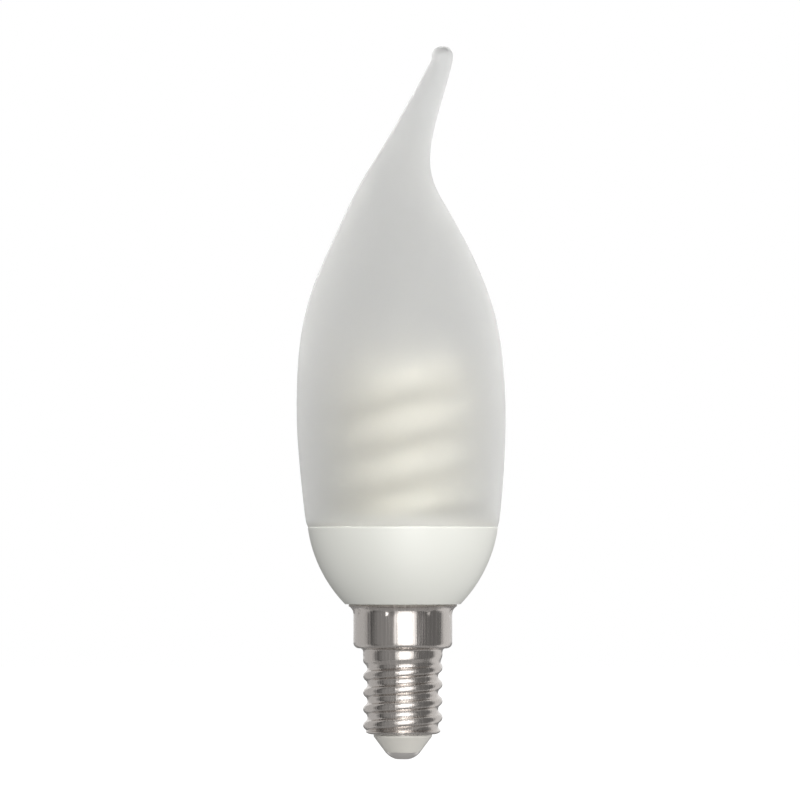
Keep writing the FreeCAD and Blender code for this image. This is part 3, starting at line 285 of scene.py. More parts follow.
def frosted_glass():
    """Etched glass, which a shadow ray passes with the colour of GLASS_SHADE."""
    material = finish("frosted_glass", GLASS_COLOUR, 0.71, tint=0.03, uneven=0.05, relief=0.1,
                      mottle={"cloud": 45.0, "grain": 1500.0}, Transmission_Weight=0.89, IOR=1.45,
                      Sheen_Weight=0.5, Sheen_Roughness=0.5)
    tree = material.node_tree
    output, shader = tree.nodes["Material Output"], tree.nodes["Principled BSDF"]
    clear = add(tree, "ShaderNodeBsdfTransparent", {"Color": GLASS_SHADE})
    path = add(tree, "ShaderNodeLightPath")
    mix = add(tree, "ShaderNodeMixShader", {
        0: path.outputs["Is Shadow Ray"], 1: shader.outputs[0], 2: clear.outputs[0]})
    plug(tree, output.inputs["Surface"], mix.outputs[0])
    return material


GLASS = frosted_glass()
print("glass made:", GLASS.name)

# %% [markdown]
# ## The other finishes
#
# The tube's glass is clear and coated inside with white phosphor, which looks like glazed
# porcelain. The cup and the insulator are moulded in white plastic: the cup's white is bright
# and satin, the insulator's warmer, darker and glossier. The tube's holder is the same white
# plastic as the cup, but here it gets a darker, matt copy of it as painted shade, so that it
# doesn't shine through the glass at the seam. The cement has a grey of its own, made darker as
# painted shade for the same reason. The cap is brass with a bright nickel plate, and was drawn
# and rolled, so it has the drawn lines. Its contact is the same metal, rubbed bright. The pieces
# inside the cup can't be seen in use, and all but the holder and the cement have the finish of
# the real one.
#
# The spiral tube, its holder and the circuit keep their imported shapes. They ride with the lamp
# already, so all they need is their finish, and it goes straight into their material slots.

# %% Make the finishes that show
MOULDED = {"cloud": 90.0, "grain": 1800.0}
DRAWN = {"cloud": 2600.0, "grain": 3000.0, "stretch": 0.02, "group": DRAWN_LINES}

PHOSPHOR = finish("tube_phosphor", (0.93, 0.90, 0.79), 0.35, tint=0.03, mottle={"cloud": 200.0},
                  Coat_Weight=0.6, Coat_Roughness=0.05)
PLASTIC = finish("white_plastic", (0.86, 0.863, 0.805), 0.42, tint=0.02, mottle=MOULDED)
# painted shade: the tube's holder gets a darker, duller copy of the cup's white plastic
HOLDER_PAINTED_SHADE = finish("holder_plastic_painted_shade", (0.70, 0.70, 0.66), 0.6, tint=0.02, mottle=MOULDED)
INSULATOR = finish("insulator", (0.745, 0.722, 0.664), 0.3, tint=0.02, mottle=MOULDED)
# the cement's grey is partly its own colour and partly painted shade, darkened so that it doesn't
# shine through the glass at the seam
CEMENT_AND_PAINTED_SHADE = finish("cement", (0.64, 0.63, 0.59), 0.8, tint=0.15, relief=0.5, depth=0.0001)
NICKEL = finish("nickel", (0.71, 0.665, 0.63), 0.24, tint=0.2, uneven=0.16, relief=0.45,
                depth=0.00005, mottle=DRAWN, Metallic=1.0)
BUTTON = finish("worn_nickel", (0.97, 0.93, 0.90), 0.28, tint=0.1, relief=0.1, Metallic=1.0)

# %% Make the finishes inside the cup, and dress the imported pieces
BY_SLOT = {
    "circuit_laminate": finish("circuit_laminate", (0.50, 0.36, 0.16), 0.55, tint=0.2),
    "ferrite": finish("ferrite", (0.07, 0.07, 0.075), 0.6, tint=0.3, relief=0.4, depth=0.0001),
    "copper_wire": finish("copper_wire", (0.62, 0.27, 0.12), 0.25, tint=0.2, Metallic=1.0),
    "tinned_wire": finish("tinned_wire", (0.72, 0.72, 0.72), 0.3, tint=0.1, Metallic=1.0),
    "black_sleeve": finish("black_sleeve", (0.03, 0.03, 0.035), 0.35),
    "red_resin": finish("red_resin", (0.45, 0.07, 0.04), 0.25, Coat_Weight=0.5),
    "beige_resin": finish("beige_resin", (0.70, 0.60, 0.42), 0.5),
    "lead_sleeve": finish("lead_sleeve", (0.78, 0.78, 0.74), 0.55),
    "tube_phosphor": PHOSPHOR,
    "white_plastic": PLASTIC,
    "cement": CEMENT_AND_PAINTED_SHADE,
    "nickel": NICKEL,
    "frosted_glass": GLASS,
}
slots = {row["node"]: row["material_slot"] for row in frame["record"]["subparts"]}
for node, slot in slots.items():
    packed = frame["nodes"][node]
    packed.data.materials.clear()
    # the tube's holder takes the copy of the white plastic that is darkened as painted shade
    packed.data.materials.append(HOLDER_PAINTED_SHADE if node == "tube_holder" else BY_SLOT[slot])
print("packed pieces dressed:", len(slots))

# %% [markdown]
# ## Helpers for turned and blown pieces
#
# Most of this lamp is round. A turned piece is an outline of radius and height, spun about the
# axis. Bends in the outline are arcs, so a helper adds the points of an arc between two corners.
# A Screw modifier can spin an outline too, but a few lines of bmesh make each pole a single point
# and leave nothing to merge. The mesh is closed where the outline closes, and edges sharper than
# a chosen angle stay crisp.


# %% Draw the bends and the straight runs of an outline
def arc(start, end, radius, steps=12):
    """Points after start, up to end, on an arc that turns left for a radius above 0."""
    (x0, y0), (x1, y1) = start, end
    half_x, half_y = (x1 - x0) / 2, (y1 - y0) / 2
    half = math.hypot(half_x, half_y)
    reach = math.sqrt(max(radius * radius - half * half, 0)) / half
    side = 1 if radius > 0 else -1
    centre_x = x0 + half_x - side * half_y * reach
    centre_y = y0 + half_y + side * half_x * reach
    first = math.atan2(y0 - centre_y, x0 - centre_x)
    last = math.atan2(y1 - centre_y, x1 - centre_x)
    sweep = (last - first) * side % (2 * math.pi) * side
    turns = [first + sweep * step / steps for step in range(1, steps + 1)]
    return [(centre_x + abs(radius) * math.cos(turn), centre_y + abs(radius) * math.sin(turn))
            for turn in turns]


def rise(start, end, spacing):
    """Evenly spaced points after start, up to end, on a straight run."""
    (x0, y0), (x1, y1) = start, end
    steps = max(1, round(math.dist(start, end) / spacing))
    return [(x0 + (x1 - x0) * step / steps, y0 + (y1 - y0) * step / steps)
            for step in range(1, steps + 1)]


# %% Turn an outline into a mesh
AROUND = 192
ON_AXIS = 1e-9
SHARP = math.radians(35)


def link_mesh(name, mesh, material):
    """Add a finished mesh to the scene, smooth but for its sharp edges."""
    if material:
        mesh.materials.append(material)
    mesh.polygons.foreach_set("use_smooth", [True] * len(mesh.polygons))
    mesh.set_sharp_from_angle(angle=SHARP)
    piece = bpy.data.objects.new(name, mesh)
    scene.collection.objects.link(piece)
    print(f"{name}: {len(mesh.polygons)} faces")
    return piece


def spin(name, outline, material, around=AROUND):
    """Spin a closed outline of (radius, height) about Z. A radius of 0 becomes a single pole."""
    turns = [2 * math.pi * step / around for step in range(around)]
    work = bmesh.new()
    rings = []
    for radius, height in outline:
        ring = [(radius * math.cos(turn), radius * math.sin(turn), height) for turn in turns]
        if radius < ON_AXIS:
            ring = [(0, 0, height)]
        rings.append([work.verts.new(place) for place in ring])
    for low, high in zip(rings, rings[1:] + rings[:1]):
        if len(low) == len(high) == 1:
            continue
        for step in range(around):
            after = (step + 1) % around
            corners = [low[step % len(low)], low[after % len(low)],
                       high[after % len(high)], high[step % len(high)]]
            work.faces.new(list(dict.fromkeys(corners)))
    bmesh.ops.recalc_face_normals(work, faces=work.faces)
    mesh = bpy.data.meshes.new(name)
    work.to_mesh(mesh)
    work.free()
    return link_mesh(name, mesh, material)


# %% [markdown]
# ## The blown bulb
#
# The bulb was blown into a mould, then its end was heated, drawn out, bent aside and melted shut.
# It could be a surface of subdivided rings, but its shape has a simple rule: a round section that
# follows a line, and grows and shrinks on the way. So the line is a smooth spline, each of its
# points carries the radius there, and Geometry Nodes sweep a circle along it. The hollow inside
# is swept the same way, one wall inside the skin. Glass that is drawn out thin runs together, so
# the hollow tapers to nothing in the tail, and the rest of the tail and its bead are solid.

# %% The line that the bulb follows, with its radius
BULB_LINE = [
    # height above the seam, shift towards +X, radius, all in mm
    (0.0, 0.0, 16.25),
    (0.7, 0.0, 16.55),
    (2.0, -0.02, 16.78),
    (8.0, -0.09, 17.35),
    (16.0, -0.22, 17.96),
    (23.0, -0.33, 17.96),
    (31.0, -0.44, 17.49),
    (38.0, -0.58, 16.10),
    (44.0, -0.66, 13.85),
    (49.0, -0.77, 11.50),
    (54.0, -0.89, 9.00),
    (58.0, -0.72, 6.85),
    (61.5, -0.15, 5.15),
    (65.0, 0.82, 3.95),
    (69.0, 2.25, 3.15),
    (73.0, 3.90, 2.62),
    (76.5, 5.32, 2.22),
    (78.7, 6.22, 1.96),
    (79.7, 6.60, 1.80),
    (80.7, 6.82, 1.86),
    (81.7, 6.76, 1.84),
    (82.71, 6.66, 1.04),
    (82.71, 6.66, 0.0),
]

# %% The line of the hollow, which tapers shut in the tail
GLASS_WALL = 0.9
TAPER_START = 55
TAPER = [
    # height above the seam, shift towards +X, radius, all in mm
    (57.2, -0.80, 6.1),
    (60.5, -0.40, 4.5),
    (64.0, 0.50, 2.75),
    (67.5, 1.70, 1.4),
    (71.0, 3.05, 0.5),
    (72.5, 3.70, 0.0),
]
HOLLOW_LINE = [(height, shift, radius - GLASS_WALL)
               for height, shift, radius in BULB_LINE if height < TAPER_START]
HOLLOW_LINE += TAPER


def spline_piece(name, points):
    """A NURBS spline along the middle of the bulb. Its points are (height, shift, radius) in mm."""
    curve = bpy.data.curves.new(name, "CURVE")
    curve.dimensions = "3D"
    line = curve.splines.new("NURBS")
    line.points.add(len(points) - 1)
    for point, (height, shift, radius) in zip(line.points, points):
        point.co = (shift * MM, 0, seam + height * MM, 1)
        point.radius = radius * MM
    line.order_u = 4
    line.use_endpoint_u = True
    piece = bpy.data.objects.new(name, curve)
    scene.collection.objects.link(piece)
    return piece


# %% Sweep a circle along a line with Geometry Nodes
WELD = 1e-7


def sweep_group():
    """A tree that sweeps a round section along a line, as wide as the line's own radius says."""
    tree, given, result = start_group(
        "sweep_along_line", "GeometryNodeTree",
        {"Line": (GEOMETRY, None), "Rings": (INTEGER, 12), "Around": (INTEGER, AROUND),
         "Skin": (MATERIAL, None)},
        {"Piece": GEOMETRY})
    fine = add(tree, "GeometryNodeSetSplineResolution", {
        "Geometry": given.outputs["Line"], "Resolution": given.outputs["Rings"]})
    circle = add(tree, "GeometryNodeCurvePrimitiveCircle", {
        "Resolution": given.outputs["Around"], "Radius": 1.0})
    radius = add(tree, "GeometryNodeInputRadius")
    swept = add(tree, "GeometryNodeCurveToMesh", {
        "Curve": fine.outputs[0], "Profile Curve": circle.outputs["Curve"],
        "Scale": radius.outputs[0]})
    merged = add(tree, "GeometryNodeMergeByDistance", {
        "Geometry": swept.outputs["Mesh"], "Distance": WELD})
    smooth = add(tree, "GeometryNodeSetShadeSmooth", {"Geometry": merged.outputs["Geometry"]})
    whole = add(tree, "GeometryNodeRealizeInstances", {"Geometry": smooth.outputs["Geometry"]})
    dressed = add(tree, "GeometryNodeSetMaterial", {
        "Geometry": whole.outputs["Geometry"], "Material": given.outputs["Skin"]})
    plug(tree, result.inputs["Piece"], dressed.outputs["Geometry"])
    return tree


SWEEP = sweep_group()


def grow(name, source, tree, material, sizes=None):
    """Run a Geometry Nodes tree on an object and keep the result as a plain mesh piece."""
    modifier = source.modifiers.new("grow", "NODES")
    modifier.node_group = tree
    wanted = {"Skin": material, **(sizes or {})}
    for item in tree.interface.items_tree:
        if item.in_out == "INPUT" and item.name in wanted:
            modifier[item.identifier] = wanted[item.name]
    bpy.context.view_layer.update()
    ready = source.evaluated_get(bpy.context.evaluated_depsgraph_get())
    mesh = bpy.data.meshes.new_from_object(ready)
    source.modifiers.remove(modifier)
    bpy.data.objects.remove(source)
    mesh.name = name
    mesh.materials.clear()
    return link_mesh(name, mesh, material)


# %% Blow the bulb
def hollow_out(outer, inner):
    """Give a piece an inner skin that faces inwards, and close the rim between the two skins."""
    work = bmesh.new()
    work.from_mesh(inner.data)
    bmesh.ops.reverse_faces(work, faces=work.faces)
    work.from_mesh(outer.data)
    rim = [edge for edge in work.edges if edge.is_boundary]
    bmesh.ops.bridge_loops(work, edges=rim)
    bmesh.ops.recalc_face_normals(work, faces=work.faces)
    still_open = sum(edge.is_boundary for edge in work.edges)
    work.to_mesh(outer.data)
    work.free()
    bpy.data.objects.remove(inner)
    outer.data.polygons.foreach_set("use_smooth", [True] * len(outer.data.polygons))
    outer.data.set_sharp_from_angle(angle=SHARP)
    print(f"{outer.name}: {len(outer.data.polygons)} faces, {still_open} open edges")


bulb = grow("frosted_bulb", spline_piece("bulb_line", BULB_LINE), SWEEP, GLASS)
hollow = grow("bulb_hollow", spline_piece("hollow_line", HOLLOW_LINE), SWEEP, GLASS)
hollow_out(bulb, hollow)
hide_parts("glass_envelope")
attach(bulb, "root")

# %% [markdown]
# ## The moulded cup
#
# The cup hides the circuit. It widens from the metal lip to the seam on one long curve, with a
# small bevel at the rim, where the glass sits on a recess inside. It could be a cylinder that
# subdivision rounds, but then no radius is exact. Spinning its outline is how a mould for it is
# turned. The shell's lip is flared round the cup's foot, so the sizes of the flare come first:
# both pieces follow them.

# %% Turn the cup
SKIRT_RADIUS, FLARE_BEND, FLARE_TURN = 8.47 * MM, 1.5 * MM, math.radians(66)
FLARE_START = 24.8 * MM
flare_centre = SKIRT_RADIUS + FLARE_BEND

CUP_HEIGHT, SEAT_BEND = 13.2 * MM, 1.85 * MM
NECK_RADIUS, NECK_BORE, NECK_RISE = 8.12 * MM, 6.82 * MM, 0.6 * MM
CUP_FOOT_RADIUS, CUP_RIM_RADIUS, CUP_BULGE = 9.9 * MM, 16.28 * MM, 23.5 * MM
CUP_BEVEL = 0.25 * MM
RECESS_RADIUS, RECESS_DEPTH, CUP_BORE = 15.3 * MM, 1.0 * MM, 14.6 * MM

cup_foot = seam - CUP_HEIGHT
recess = seam - RECESS_DEPTH
neck_edge = (NECK_RADIUS, FLARE_START)
seat_edge = (flare_centre - SEAT_BEND * math.cos(FLARE_TURN), cup_foot)
foot_edge = (CUP_FOOT_RADIUS, cup_foot)
bevel_foot, bevel_top = (CUP_RIM_RADIUS, seam - CUP_BEVEL), (CUP_RIM_RADIUS - CUP_BEVEL, seam)
bore_edge, neck_top = (CUP_BORE, recess), (NECK_BORE, FLARE_START + NECK_RISE)

cup_outline = [(NECK_BORE, cup_low.z), (NECK_RADIUS, cup_low.z), neck_edge]
cup_outline += arc(neck_edge, seat_edge, -SEAT_BEND)
cup_outline += [foot_edge]
cup_outline += arc(foot_edge, bevel_foot, CUP_BULGE, steps=40)
cup_outline += arc(bevel_foot, bevel_top, CUP_BEVEL, steps=6)
cup_outline += [(RECESS_RADIUS, seam), (RECESS_RADIUS, recess), bore_edge]
cup_outline += arc(bore_edge, neck_top, -CUP_BULGE, steps=24)
cup = spin("moulded_cup", cup_outline, PLASTIC)
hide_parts("ballast_housing")
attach(cup, "root")

# %% [markdown]
# ## The rolled screw shell
#
# The cap starts as a thin drawn cup of brass. Rollers press a round thread into it, inside and
# out, its top is flared over the plastic, and a tool dents the skirt in eight places so that it
# can't slip off. A section wound along a helix could make the thread, but that leaves a strip to
# be joined to the shell. The factory's order works better: the plain drawn shell is spun first,
# then Geometry Nodes press the thread and the dents into it. A thread is a ripple in radius that
# climbs by one pitch in each turn. The plain shell needs many rings for that, and 216 facets
# round keep it under the 200,000 triangles that a piece may have.

# %% Turn the plain shell
SHEET = 0.3 * MM
CREST, ROOT, PITCH = 6.8 * MM, 6.06 * MM, 2.822 * MM
EDGE_BEND, SHOULDER_BEND, SKIRT_BEND = 1.3 * MM, 0.6 * MM, 0.97 * MM
THREAD_HEIGHT = 14.05 * MM
THREAD_RINGS, SKIRT_RINGS = 0.1 * MM, 0.12 * MM
SHELL_AROUND = 216
SHOULDER_START = shell_edge + THREAD_HEIGHT
shoulder = SHOULDER_START + SHOULDER_BEND
skirt_start = shoulder + SKIRT_BEND


def shell_side(inset):
    """The shell's outline from its bottom edge up to the lip, this far inside the outer face."""
    edge = (CREST - EDGE_BEND, shell_edge + inset)
    crest = (CREST - inset, shell_edge + EDGE_BEND)
    top = (CREST - inset, SHOULDER_START)
    step = (CREST + SHOULDER_BEND, shoulder + inset)
    ledge = (SKIRT_RADIUS - SKIRT_BEND, shoulder + inset)
    skirt = (SKIRT_RADIUS - inset, skirt_start)
    flare = (SKIRT_RADIUS - inset, FLARE_START)
    bend = FLARE_BEND + inset
    lip = (flare_centre - bend * math.cos(FLARE_TURN), FLARE_START + bend * math.sin(FLARE_TURN))
    points = [(cone_high.x, edge[1]), edge]
    points += arc(edge, crest, EDGE_BEND - inset, steps=16)
    points += rise(crest, top, THREAD_RINGS)
    points += arc(top, step, -(SHOULDER_BEND + inset), steps=8)
    points += [ledge]
    points += arc(ledge, skirt, SKIRT_BEND - inset, steps=10)
    points += rise(skirt, flare, SKIRT_RINGS)
    points += arc(flare, lip, -bend)
    return points


plain_outline = shell_side(0) + shell_side(SHEET)[::-1]
plain_shell = spin("plain_shell", plain_outline, None, SHELL_AROUND)

# %% [markdown]
# ## The thread and the crimps
#
# In section a round thread is a row of equal arcs, one for each crest and one for each root. Half
# the depth is lost over a quarter of the pitch, which gives the arcs their radius. The ripple
# starts over the first 0.6 mm and dies away over the last pitch, as the rollers leave it. A crimp
# is a soft round dent, and the eight of them are one dent that repeats with the turn.

# %% The form of the thread and of a crimp
QUARTER_PITCH, HALF_DEPTH = PITCH / 4, (CREST - ROOT) / 2
THREAD_RADIUS = (QUARTER_PITCH ** 2 + HALF_DEPTH ** 2) / (2 * HALF_DEPTH)
RUN_IN = 0.6 * MM
print(f"thread of arcs of {THREAD_RADIUS / MM:.2f} mm, {(CREST - ROOT) / MM:.2f} mm deep")


def thread_form(tree, phase, pitch, depth, radius):
    """How deep the groove is, from the turns since a crest: a crest and a root of equal arcs."""
    turns_off = maths(tree, "ABSOLUTE", maths(tree, "WRAP", phase, 0.5, -0.5))
    off_crest = maths(tree, "MULTIPLY", turns_off, pitch)
    off_root = maths(tree, "SUBTRACT", maths(tree, "MULTIPLY", pitch, 0.5), off_crest)
    nearest = maths(tree, "MINIMUM", off_crest, off_root)
    squares = [maths(tree, "POWER", length, 2.0) for length in (radius, nearest)]
    chord = maths(tree, "SQRT", maths(tree, "SUBTRACT", *squares))
    fall = maths(tree, "SUBTRACT", radius, chord)
    in_root = maths(tree, "LESS_THAN", off_root, off_crest)
    from_root = maths(tree, "SUBTRACT", depth, maths(tree, "MULTIPLY", fall, 2.0))
    return maths(tree, "ADD", fall, maths(tree, "MULTIPLY", in_root, from_root))


def groove_depth(tree, want, height, turn):
    """How deep the thread is at a height and a turn, with its run-in and run-out."""
    rise_above = maths(tree, "SUBTRACT", height, want["Crest Height"])
    climb = maths(tree, "DIVIDE", rise_above, want["Pitch"])
    phase = maths(tree, "SUBTRACT", climb, maths(tree, "DIVIDE", turn, 2 * math.pi))
    ripple = thread_form(tree, phase, want["Pitch"], want["Depth"], want["Thread Radius"])
    run_out = maths(tree, "SUBTRACT", want["Thread Top"], want["Pitch"])
    below = smooth_step(tree, height, want["Thread Top"], run_out)
    run_in = maths(tree, "ADD", want["Thread Foot"], RUN_IN)
    above = smooth_step(tree, height, want["Thread Foot"], run_in)
    return maths(tree, "MULTIPLY", ripple, maths(tree, "MULTIPLY", below, above))


def crimp_depth(tree, want, height, turn, radius):
    """How deep the nearest crimp is at a height, a turn and a radius."""
    share = maths(tree, "DIVIDE", 2 * math.pi, want["Crimps"])
    ahead, behind = maths(tree, "MULTIPLY", share, 0.5), maths(tree, "MULTIPLY", share, -0.5)
    aside = maths(tree, "WRAP", maths(tree, "SUBTRACT", turn, want["Crimp Turn"]), ahead, behind)
    across = maths(tree, "MULTIPLY", aside, radius)
    off = maths(tree, "SUBTRACT", height, want["Crimp Height"])
    near = smooth_step(tree, slant(tree, across, off), want["Crimp Radius"], 0.0)
    return maths(tree, "MULTIPLY", near, want["Crimp Depth"])


# %% Press the thread and the crimps with Geometry Nodes
def rolling_group():
    """A tree that moves the plain shell's points inwards by the thread and the crimps."""
    tree, given, result = start_group(
        "roll_thread_and_crimp", "GeometryNodeTree",
        {"Shell": (GEOMETRY, None), "Pitch": (FLOAT, PITCH), "Depth": (FLOAT, CREST - ROOT),
         "Thread Radius": (FLOAT, THREAD_RADIUS), "Crest Height": (FLOAT, 0.0),
         "Thread Foot": (FLOAT, 0.0), "Thread Top": (FLOAT, 0.0), "Crimps": (FLOAT, 8.0),
         "Crimp Turn": (FLOAT, 0.0), "Crimp Height": (FLOAT, 0.0),
         "Crimp Radius": (FLOAT, 1.0 * MM), "Crimp Depth": (FLOAT, 0.2 * MM),
         "Skin": (MATERIAL, None)},
        {"Rolled": GEOMETRY})
    want = given.outputs
    spot = add(tree, "GeometryNodeInputPosition")
    place = add(tree, "ShaderNodeSeparateXYZ", {0: spot.outputs[0]}).outputs
    turn = maths(tree, "ARCTAN2", place["Y"], place["X"])
    radius = slant(tree, place["X"], place["Y"])
    groove = groove_depth(tree, want, place["Z"], turn)
    dent = crimp_depth(tree, want, place["Z"], turn, radius)
    inward = maths(tree, "DIVIDE", maths(tree, "ADD", groove, dent), radius)
    shrink = maths(tree, "SUBTRACT", 1.0, inward)
    pressed = add(tree, "ShaderNodeCombineXYZ", {
        "X": maths(tree, "MULTIPLY", place["X"], shrink),
        "Y": maths(tree, "MULTIPLY", place["Y"], shrink), "Z": place["Z"]})
    moved = add(tree, "GeometryNodeSetPosition", {
        "Geometry": want["Shell"], "Position": pressed.outputs[0]})
    whole = add(tree, "GeometryNodeRealizeInstances", {"Geometry": moved.outputs["Geometry"]})
    dressed = add(tree, "GeometryNodeSetMaterial", {
        "Geometry": whole.outputs["Geometry"], "Material": want["Skin"]})
    plug(tree, result.inputs["Rolled"], dressed.outputs["Geometry"])
    return tree


# %% Roll the shell
ROLLING = {
    "Crest Height": 7.13 * MM,
    "Thread Foot": shell_edge + 0.25 * MM,
    "Thread Top": SHOULDER_START - 0.3 * MM,
    "Crimp Turn": math.radians(29),
    "Crimp Height": FLARE_START + 0.25 * MM,
    "Crimp Radius": 0.9 * MM,
    "Crimp Depth": 0.24 * MM,
}
shell = grow("rolled_shell", plain_shell, rolling_group(), NICKEL, ROLLING)
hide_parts("screw_shell")
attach(shell, "root")

# %% [markdown]
# ## The insulator and the contact
#
# Below the shell a white cone keeps the two poles of the supply apart, and a domed metal button
# at its end touches the spring in the holder. Both are small turned shapes, so both are spun like
# the cup. The cone has a soft edge and a bore for the button's hollow stem, and its top is a plug
# inside the shell.

# %% Turn the insulator's cone
CONE_FOOT_RADIUS, CONE_EDGE_RADIUS, CONE_BORE = 3.0 * MM, 5.0 * MM, 1.25 * MM
CONE_DROP, CONE_HEIGHT, CONE_RINGS = 4.6 * MM, 2.7 * MM, 0.3 * MM
PLUG_FOOT_RADIUS, PLUG_RADIUS, PLUG_BEVEL = 5.45 * MM, 5.7 * MM, 0.45 * MM
SOFT = 0.12 * MM
SOFT_SIDE, SOFT_BEND = SOFT * 0.6, 3 * SOFT

cone_foot = (CONE_FOOT_RADIUS, contact_high.z - CONE_DROP)
edge_height = cone_foot[1] + CONE_HEIGHT
soft_low = (CONE_EDGE_RADIUS - SOFT_SIDE, edge_height - SOFT)
soft_high = (CONE_EDGE_RADIUS, edge_height + SOFT_SIDE)
seat = shell_edge + SHEET

cone_outline = [(CONE_BORE, cone_foot[1]), cone_foot]
cone_outline += rise(cone_foot, soft_low, CONE_RINGS)
cone_outline += arc(soft_low, soft_high, SOFT_BEND, steps=5)
cone_outline += [(CONE_EDGE_RADIUS, seat), (PLUG_FOOT_RADIUS, seat), (PLUG_RADIUS, seat + PLUG_BEVEL)]
cone_outline += [(PLUG_RADIUS, cone_high.z), (CONE_BORE, cone_high.z)]
cone = spin("insulator_cone", cone_outline, INSULATOR)
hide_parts("cap_insulator")
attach(cone, "root")

# %% Turn the contact
DOME, STEM_RADIUS, STEM_BORE = 3.4 * MM, 1.2 * MM, 0.45 * MM
BUTTON_AROUND = 96
contact_flat, contact_rim = (1.1 * MM, 0.0), (3.0 * MM, 1.2 * MM)

button_outline = [(0, 0), contact_flat] + arc(contact_flat, contact_rim, DOME, steps=16)
button_outline += [(STEM_RADIUS, contact_rim[1]), (STEM_RADIUS, contact_high.z)]
button_outline += [(STEM_BORE, contact_high.z), (STEM_BORE, contact_rim[1]), (0, contact_rim[1])]
button = spin("contact_button", button_outline, BUTTON, BUTTON_AROUND)
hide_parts("centre_contact")
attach(button, "root")

# %% [markdown]
# ## Floor and background
#
# The photograph has a pure white ground. A pale floor lies well below the lamp, because close up
# it would darken each lower flank of the thread. Its material glows for the camera alone, so that
# floor and world are one white. The world has two strengths. The camera sees plain white, and so
# does a mirrored or transmitted ray that has met no matt surface on its way, because nickel and
# glass show that ground. All other rays meet about half of it, which is the soft light of the
# room on the lamp.

# %% Lay the floor
FLOOR_COLOUR, FLOOR_ROUGHNESS = (0.40, 0.40, 0.40, 1), 0.8
FLOOR_GLOW = 0.85
FLOOR_DROP = 0.42
FLOOR_SIDE = 40


def floor_finish():
    """A pale matt floor that adds a glow where the camera sees it."""
    material = bpy.data.materials.new("pale_floor")
    material.use_nodes = True
    tree = material.node_tree
    shader = tree.nodes["Principled BSDF"]
    shader.inputs["Base Color"].default_value = FLOOR_COLOUR
    shader.inputs["Roughness"].default_value = FLOOR_ROUGHNESS
    path = add(tree, "ShaderNodeLightPath")
    strength = maths(tree, "MULTIPLY", path.outputs["Is Camera Ray"], FLOOR_GLOW)
    glow = add(tree, "ShaderNodeEmission", {"Strength": strength})
    both = add(tree, "ShaderNodeAddShader", {0: shader.outputs[0], 1: glow.outputs[0]})
    plug(tree, tree.nodes["Material Output"].inputs["Surface"], both.outputs[0])
    return material


bpy.ops.mesh.primitive_plane_add(size=FLOOR_SIDE, location=(0, 0, -FLOOR_DROP))
floor = bpy.context.object
floor.name = "floor"
floor.data.materials.append(floor_finish())
print(f"floor of {FLOOR_SIDE} m at {-FLOOR_DROP} m")

# %% Light the world
AMBIENT, WHITE = 0.52, 1.0

scene.view_settings.view_transform = "Standard"
world = bpy.data.worlds.new("studio")
scene.world = world
world.use_nodes = True
tree = world.node_tree
ground = tree.nodes["Background"]
path = add(tree, "ShaderNodeLightPath").outputs
mirrored = maths(tree, "MAXIMUM", path["Is Glossy Ray"], path["Is Transmission Ray"])
unscattered = maths(tree, "LESS_THAN", path["Diffuse Depth"], 0.5)
clean = maths(tree, "MULTIPLY", mirrored, unscattered)
sees_white = maths(tree, "MAXIMUM", path["Is Camera Ray"], clean)
plug(tree, ground.inputs["Strength"], smooth_step(tree, sees_white, 0.0, 1.0, AMBIENT, WHITE))
ground.inputs["Color"].default_value = (1, 1, 1, 1)
print(f"world of {AMBIENT}, white for the camera")

# %% [markdown]
# ## The lamps
#
# The light of the photograph is soft and comes from the front and the right. Point lamps would
# leave hard spots and shadows, so both lamps are soft boxes. A small one stands behind the camera
# and above it, and gives the cup and the glass their shading. A tall one on the right lifts that
# side. The nickel may mirror the first, but a tall box would draw a second bright stripe down it,
# so mirrored rays don't meet the second.


# %% Place the lamps
def soft_lamp(name, place, aim, width, height, watts, mirrored):
    """A rectangular soft box aimed at a point. Glossy rays meet it only where it is mirrored."""
    light = bpy.data.lights.new(name, "AREA")
    light.shape = "RECTANGLE"
    light.size, light.size_y = width, height
    light.energy = watts
    lamp = bpy.data.objects.new(name, light)
    lamp.location = place
    lamp.rotation_euler = (Vector(aim) - Vector(place)).to_track_quat("-Z", "Y").to_euler()
    lamp.visible_glossy = mirrored
    scene.collection.objects.link(lamp)
    print(f"{name}: {watts} W")


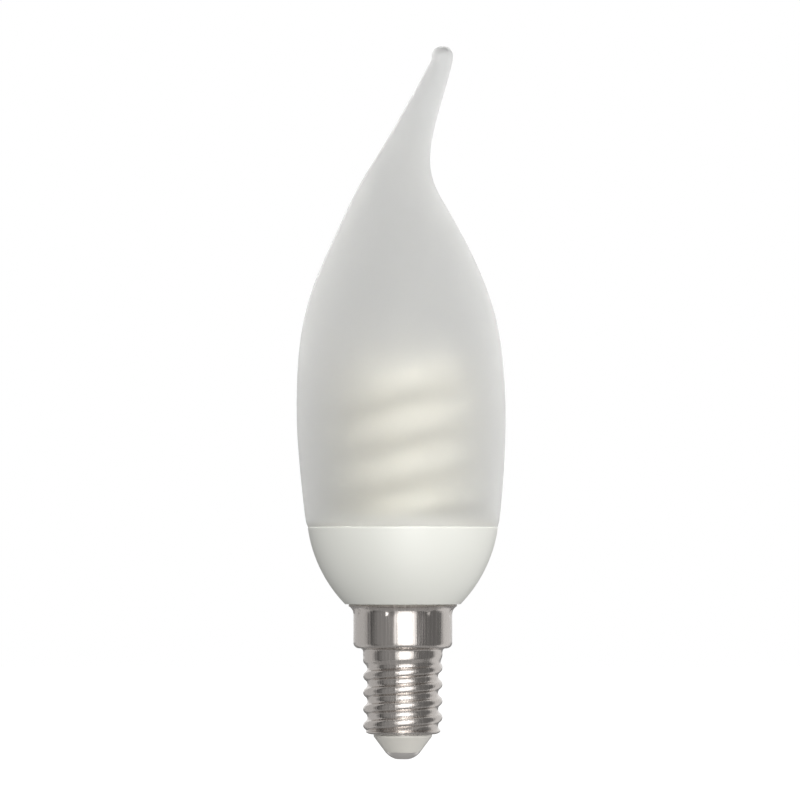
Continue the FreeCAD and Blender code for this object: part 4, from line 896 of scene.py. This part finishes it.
MIDDLE = (0, 0, 0.06)
soft_lamp("key", (0.05, -0.93, 0.26), MIDDLE, 0.2, 0.2, 5.2, mirrored=True)
soft_lamp("right_side", (0.75, -0.2, 0.06), MIDDLE, 0.4, 0.8, 1.7, mirrored=False)

# %% [markdown]
# ## What the nickel mirrors
#
# Polished metal has no look of its own: it shows the room. In the photograph it shows a bright
# window close to the camera, a dark room on both sides of it, and pale walls further round. A
# picture of a room could stand in for that, but a photographer sets up cards, and each of them
# can be moved by itself. Each card here is a strip of a cylinder about the lamp, so that it says
# plainly which turn of the metal it lights or darkens. The cards stand from the floor up to a
# metre. Only the window is short: above it the thread's upper flanks look up into the white of
# the world. Only glossy rays meet a card, so it takes no light from the lamp and throws no shadow.

# %% Stand the cards
CARD_REACH = 0.5
CARD_FACETS = 24
CARDS = [
    # name, start and end in degrees to the right of straight in front, top in metres, brightness
    ("wall_left", -150, -90, 1.0, 0.60),
    ("dark_left", -90, -68, 1.0, 0.10),
    ("grey_left", -68, -13, 1.0, 0.29),
    ("window", -12, 28, 0.35, 1.9),
    ("grey_right", 29, 104, 1.0, 0.17),
    ("wall_right", 104, 150, 1.0, 0.80),
]


def card_finish(name, light):
    """A card that only glows."""
    material = bpy.data.materials.new(name)
    material.use_nodes = True
    tree = material.node_tree
    tree.nodes.remove(tree.nodes["Principled BSDF"])
    glow = add(tree, "ShaderNodeEmission", {"Color": (light, light, light, 1)})
    plug(tree, tree.nodes["Material Output"].inputs["Surface"], glow.outputs[0])
    return material


def card(name, start, end, top, light):
    """A strip round the lamp, from start to end and from the floor up to the top."""
    share = (end - start) / CARD_FACETS
    turns = [math.radians(start + share * step) for step in range(CARD_FACETS + 1)]
    corners = [(CARD_REACH * math.sin(turn), -CARD_REACH * math.cos(turn), height)
               for height in (-FLOOR_DROP, top) for turn in turns]
    above = len(turns)
    faces = [(step, step + 1, step + 1 + above, step + above) for step in range(CARD_FACETS)]
    mesh = bpy.data.meshes.new(name)
    mesh.from_pydata(corners, [], faces)
    piece = link_mesh(name, mesh, card_finish(name, light))
    for kind in ("camera", "diffuse", "transmission", "shadow", "volume_scatter"):
        setattr(piece, f"visible_{kind}", False)


for row in CARDS:
    card(*row)
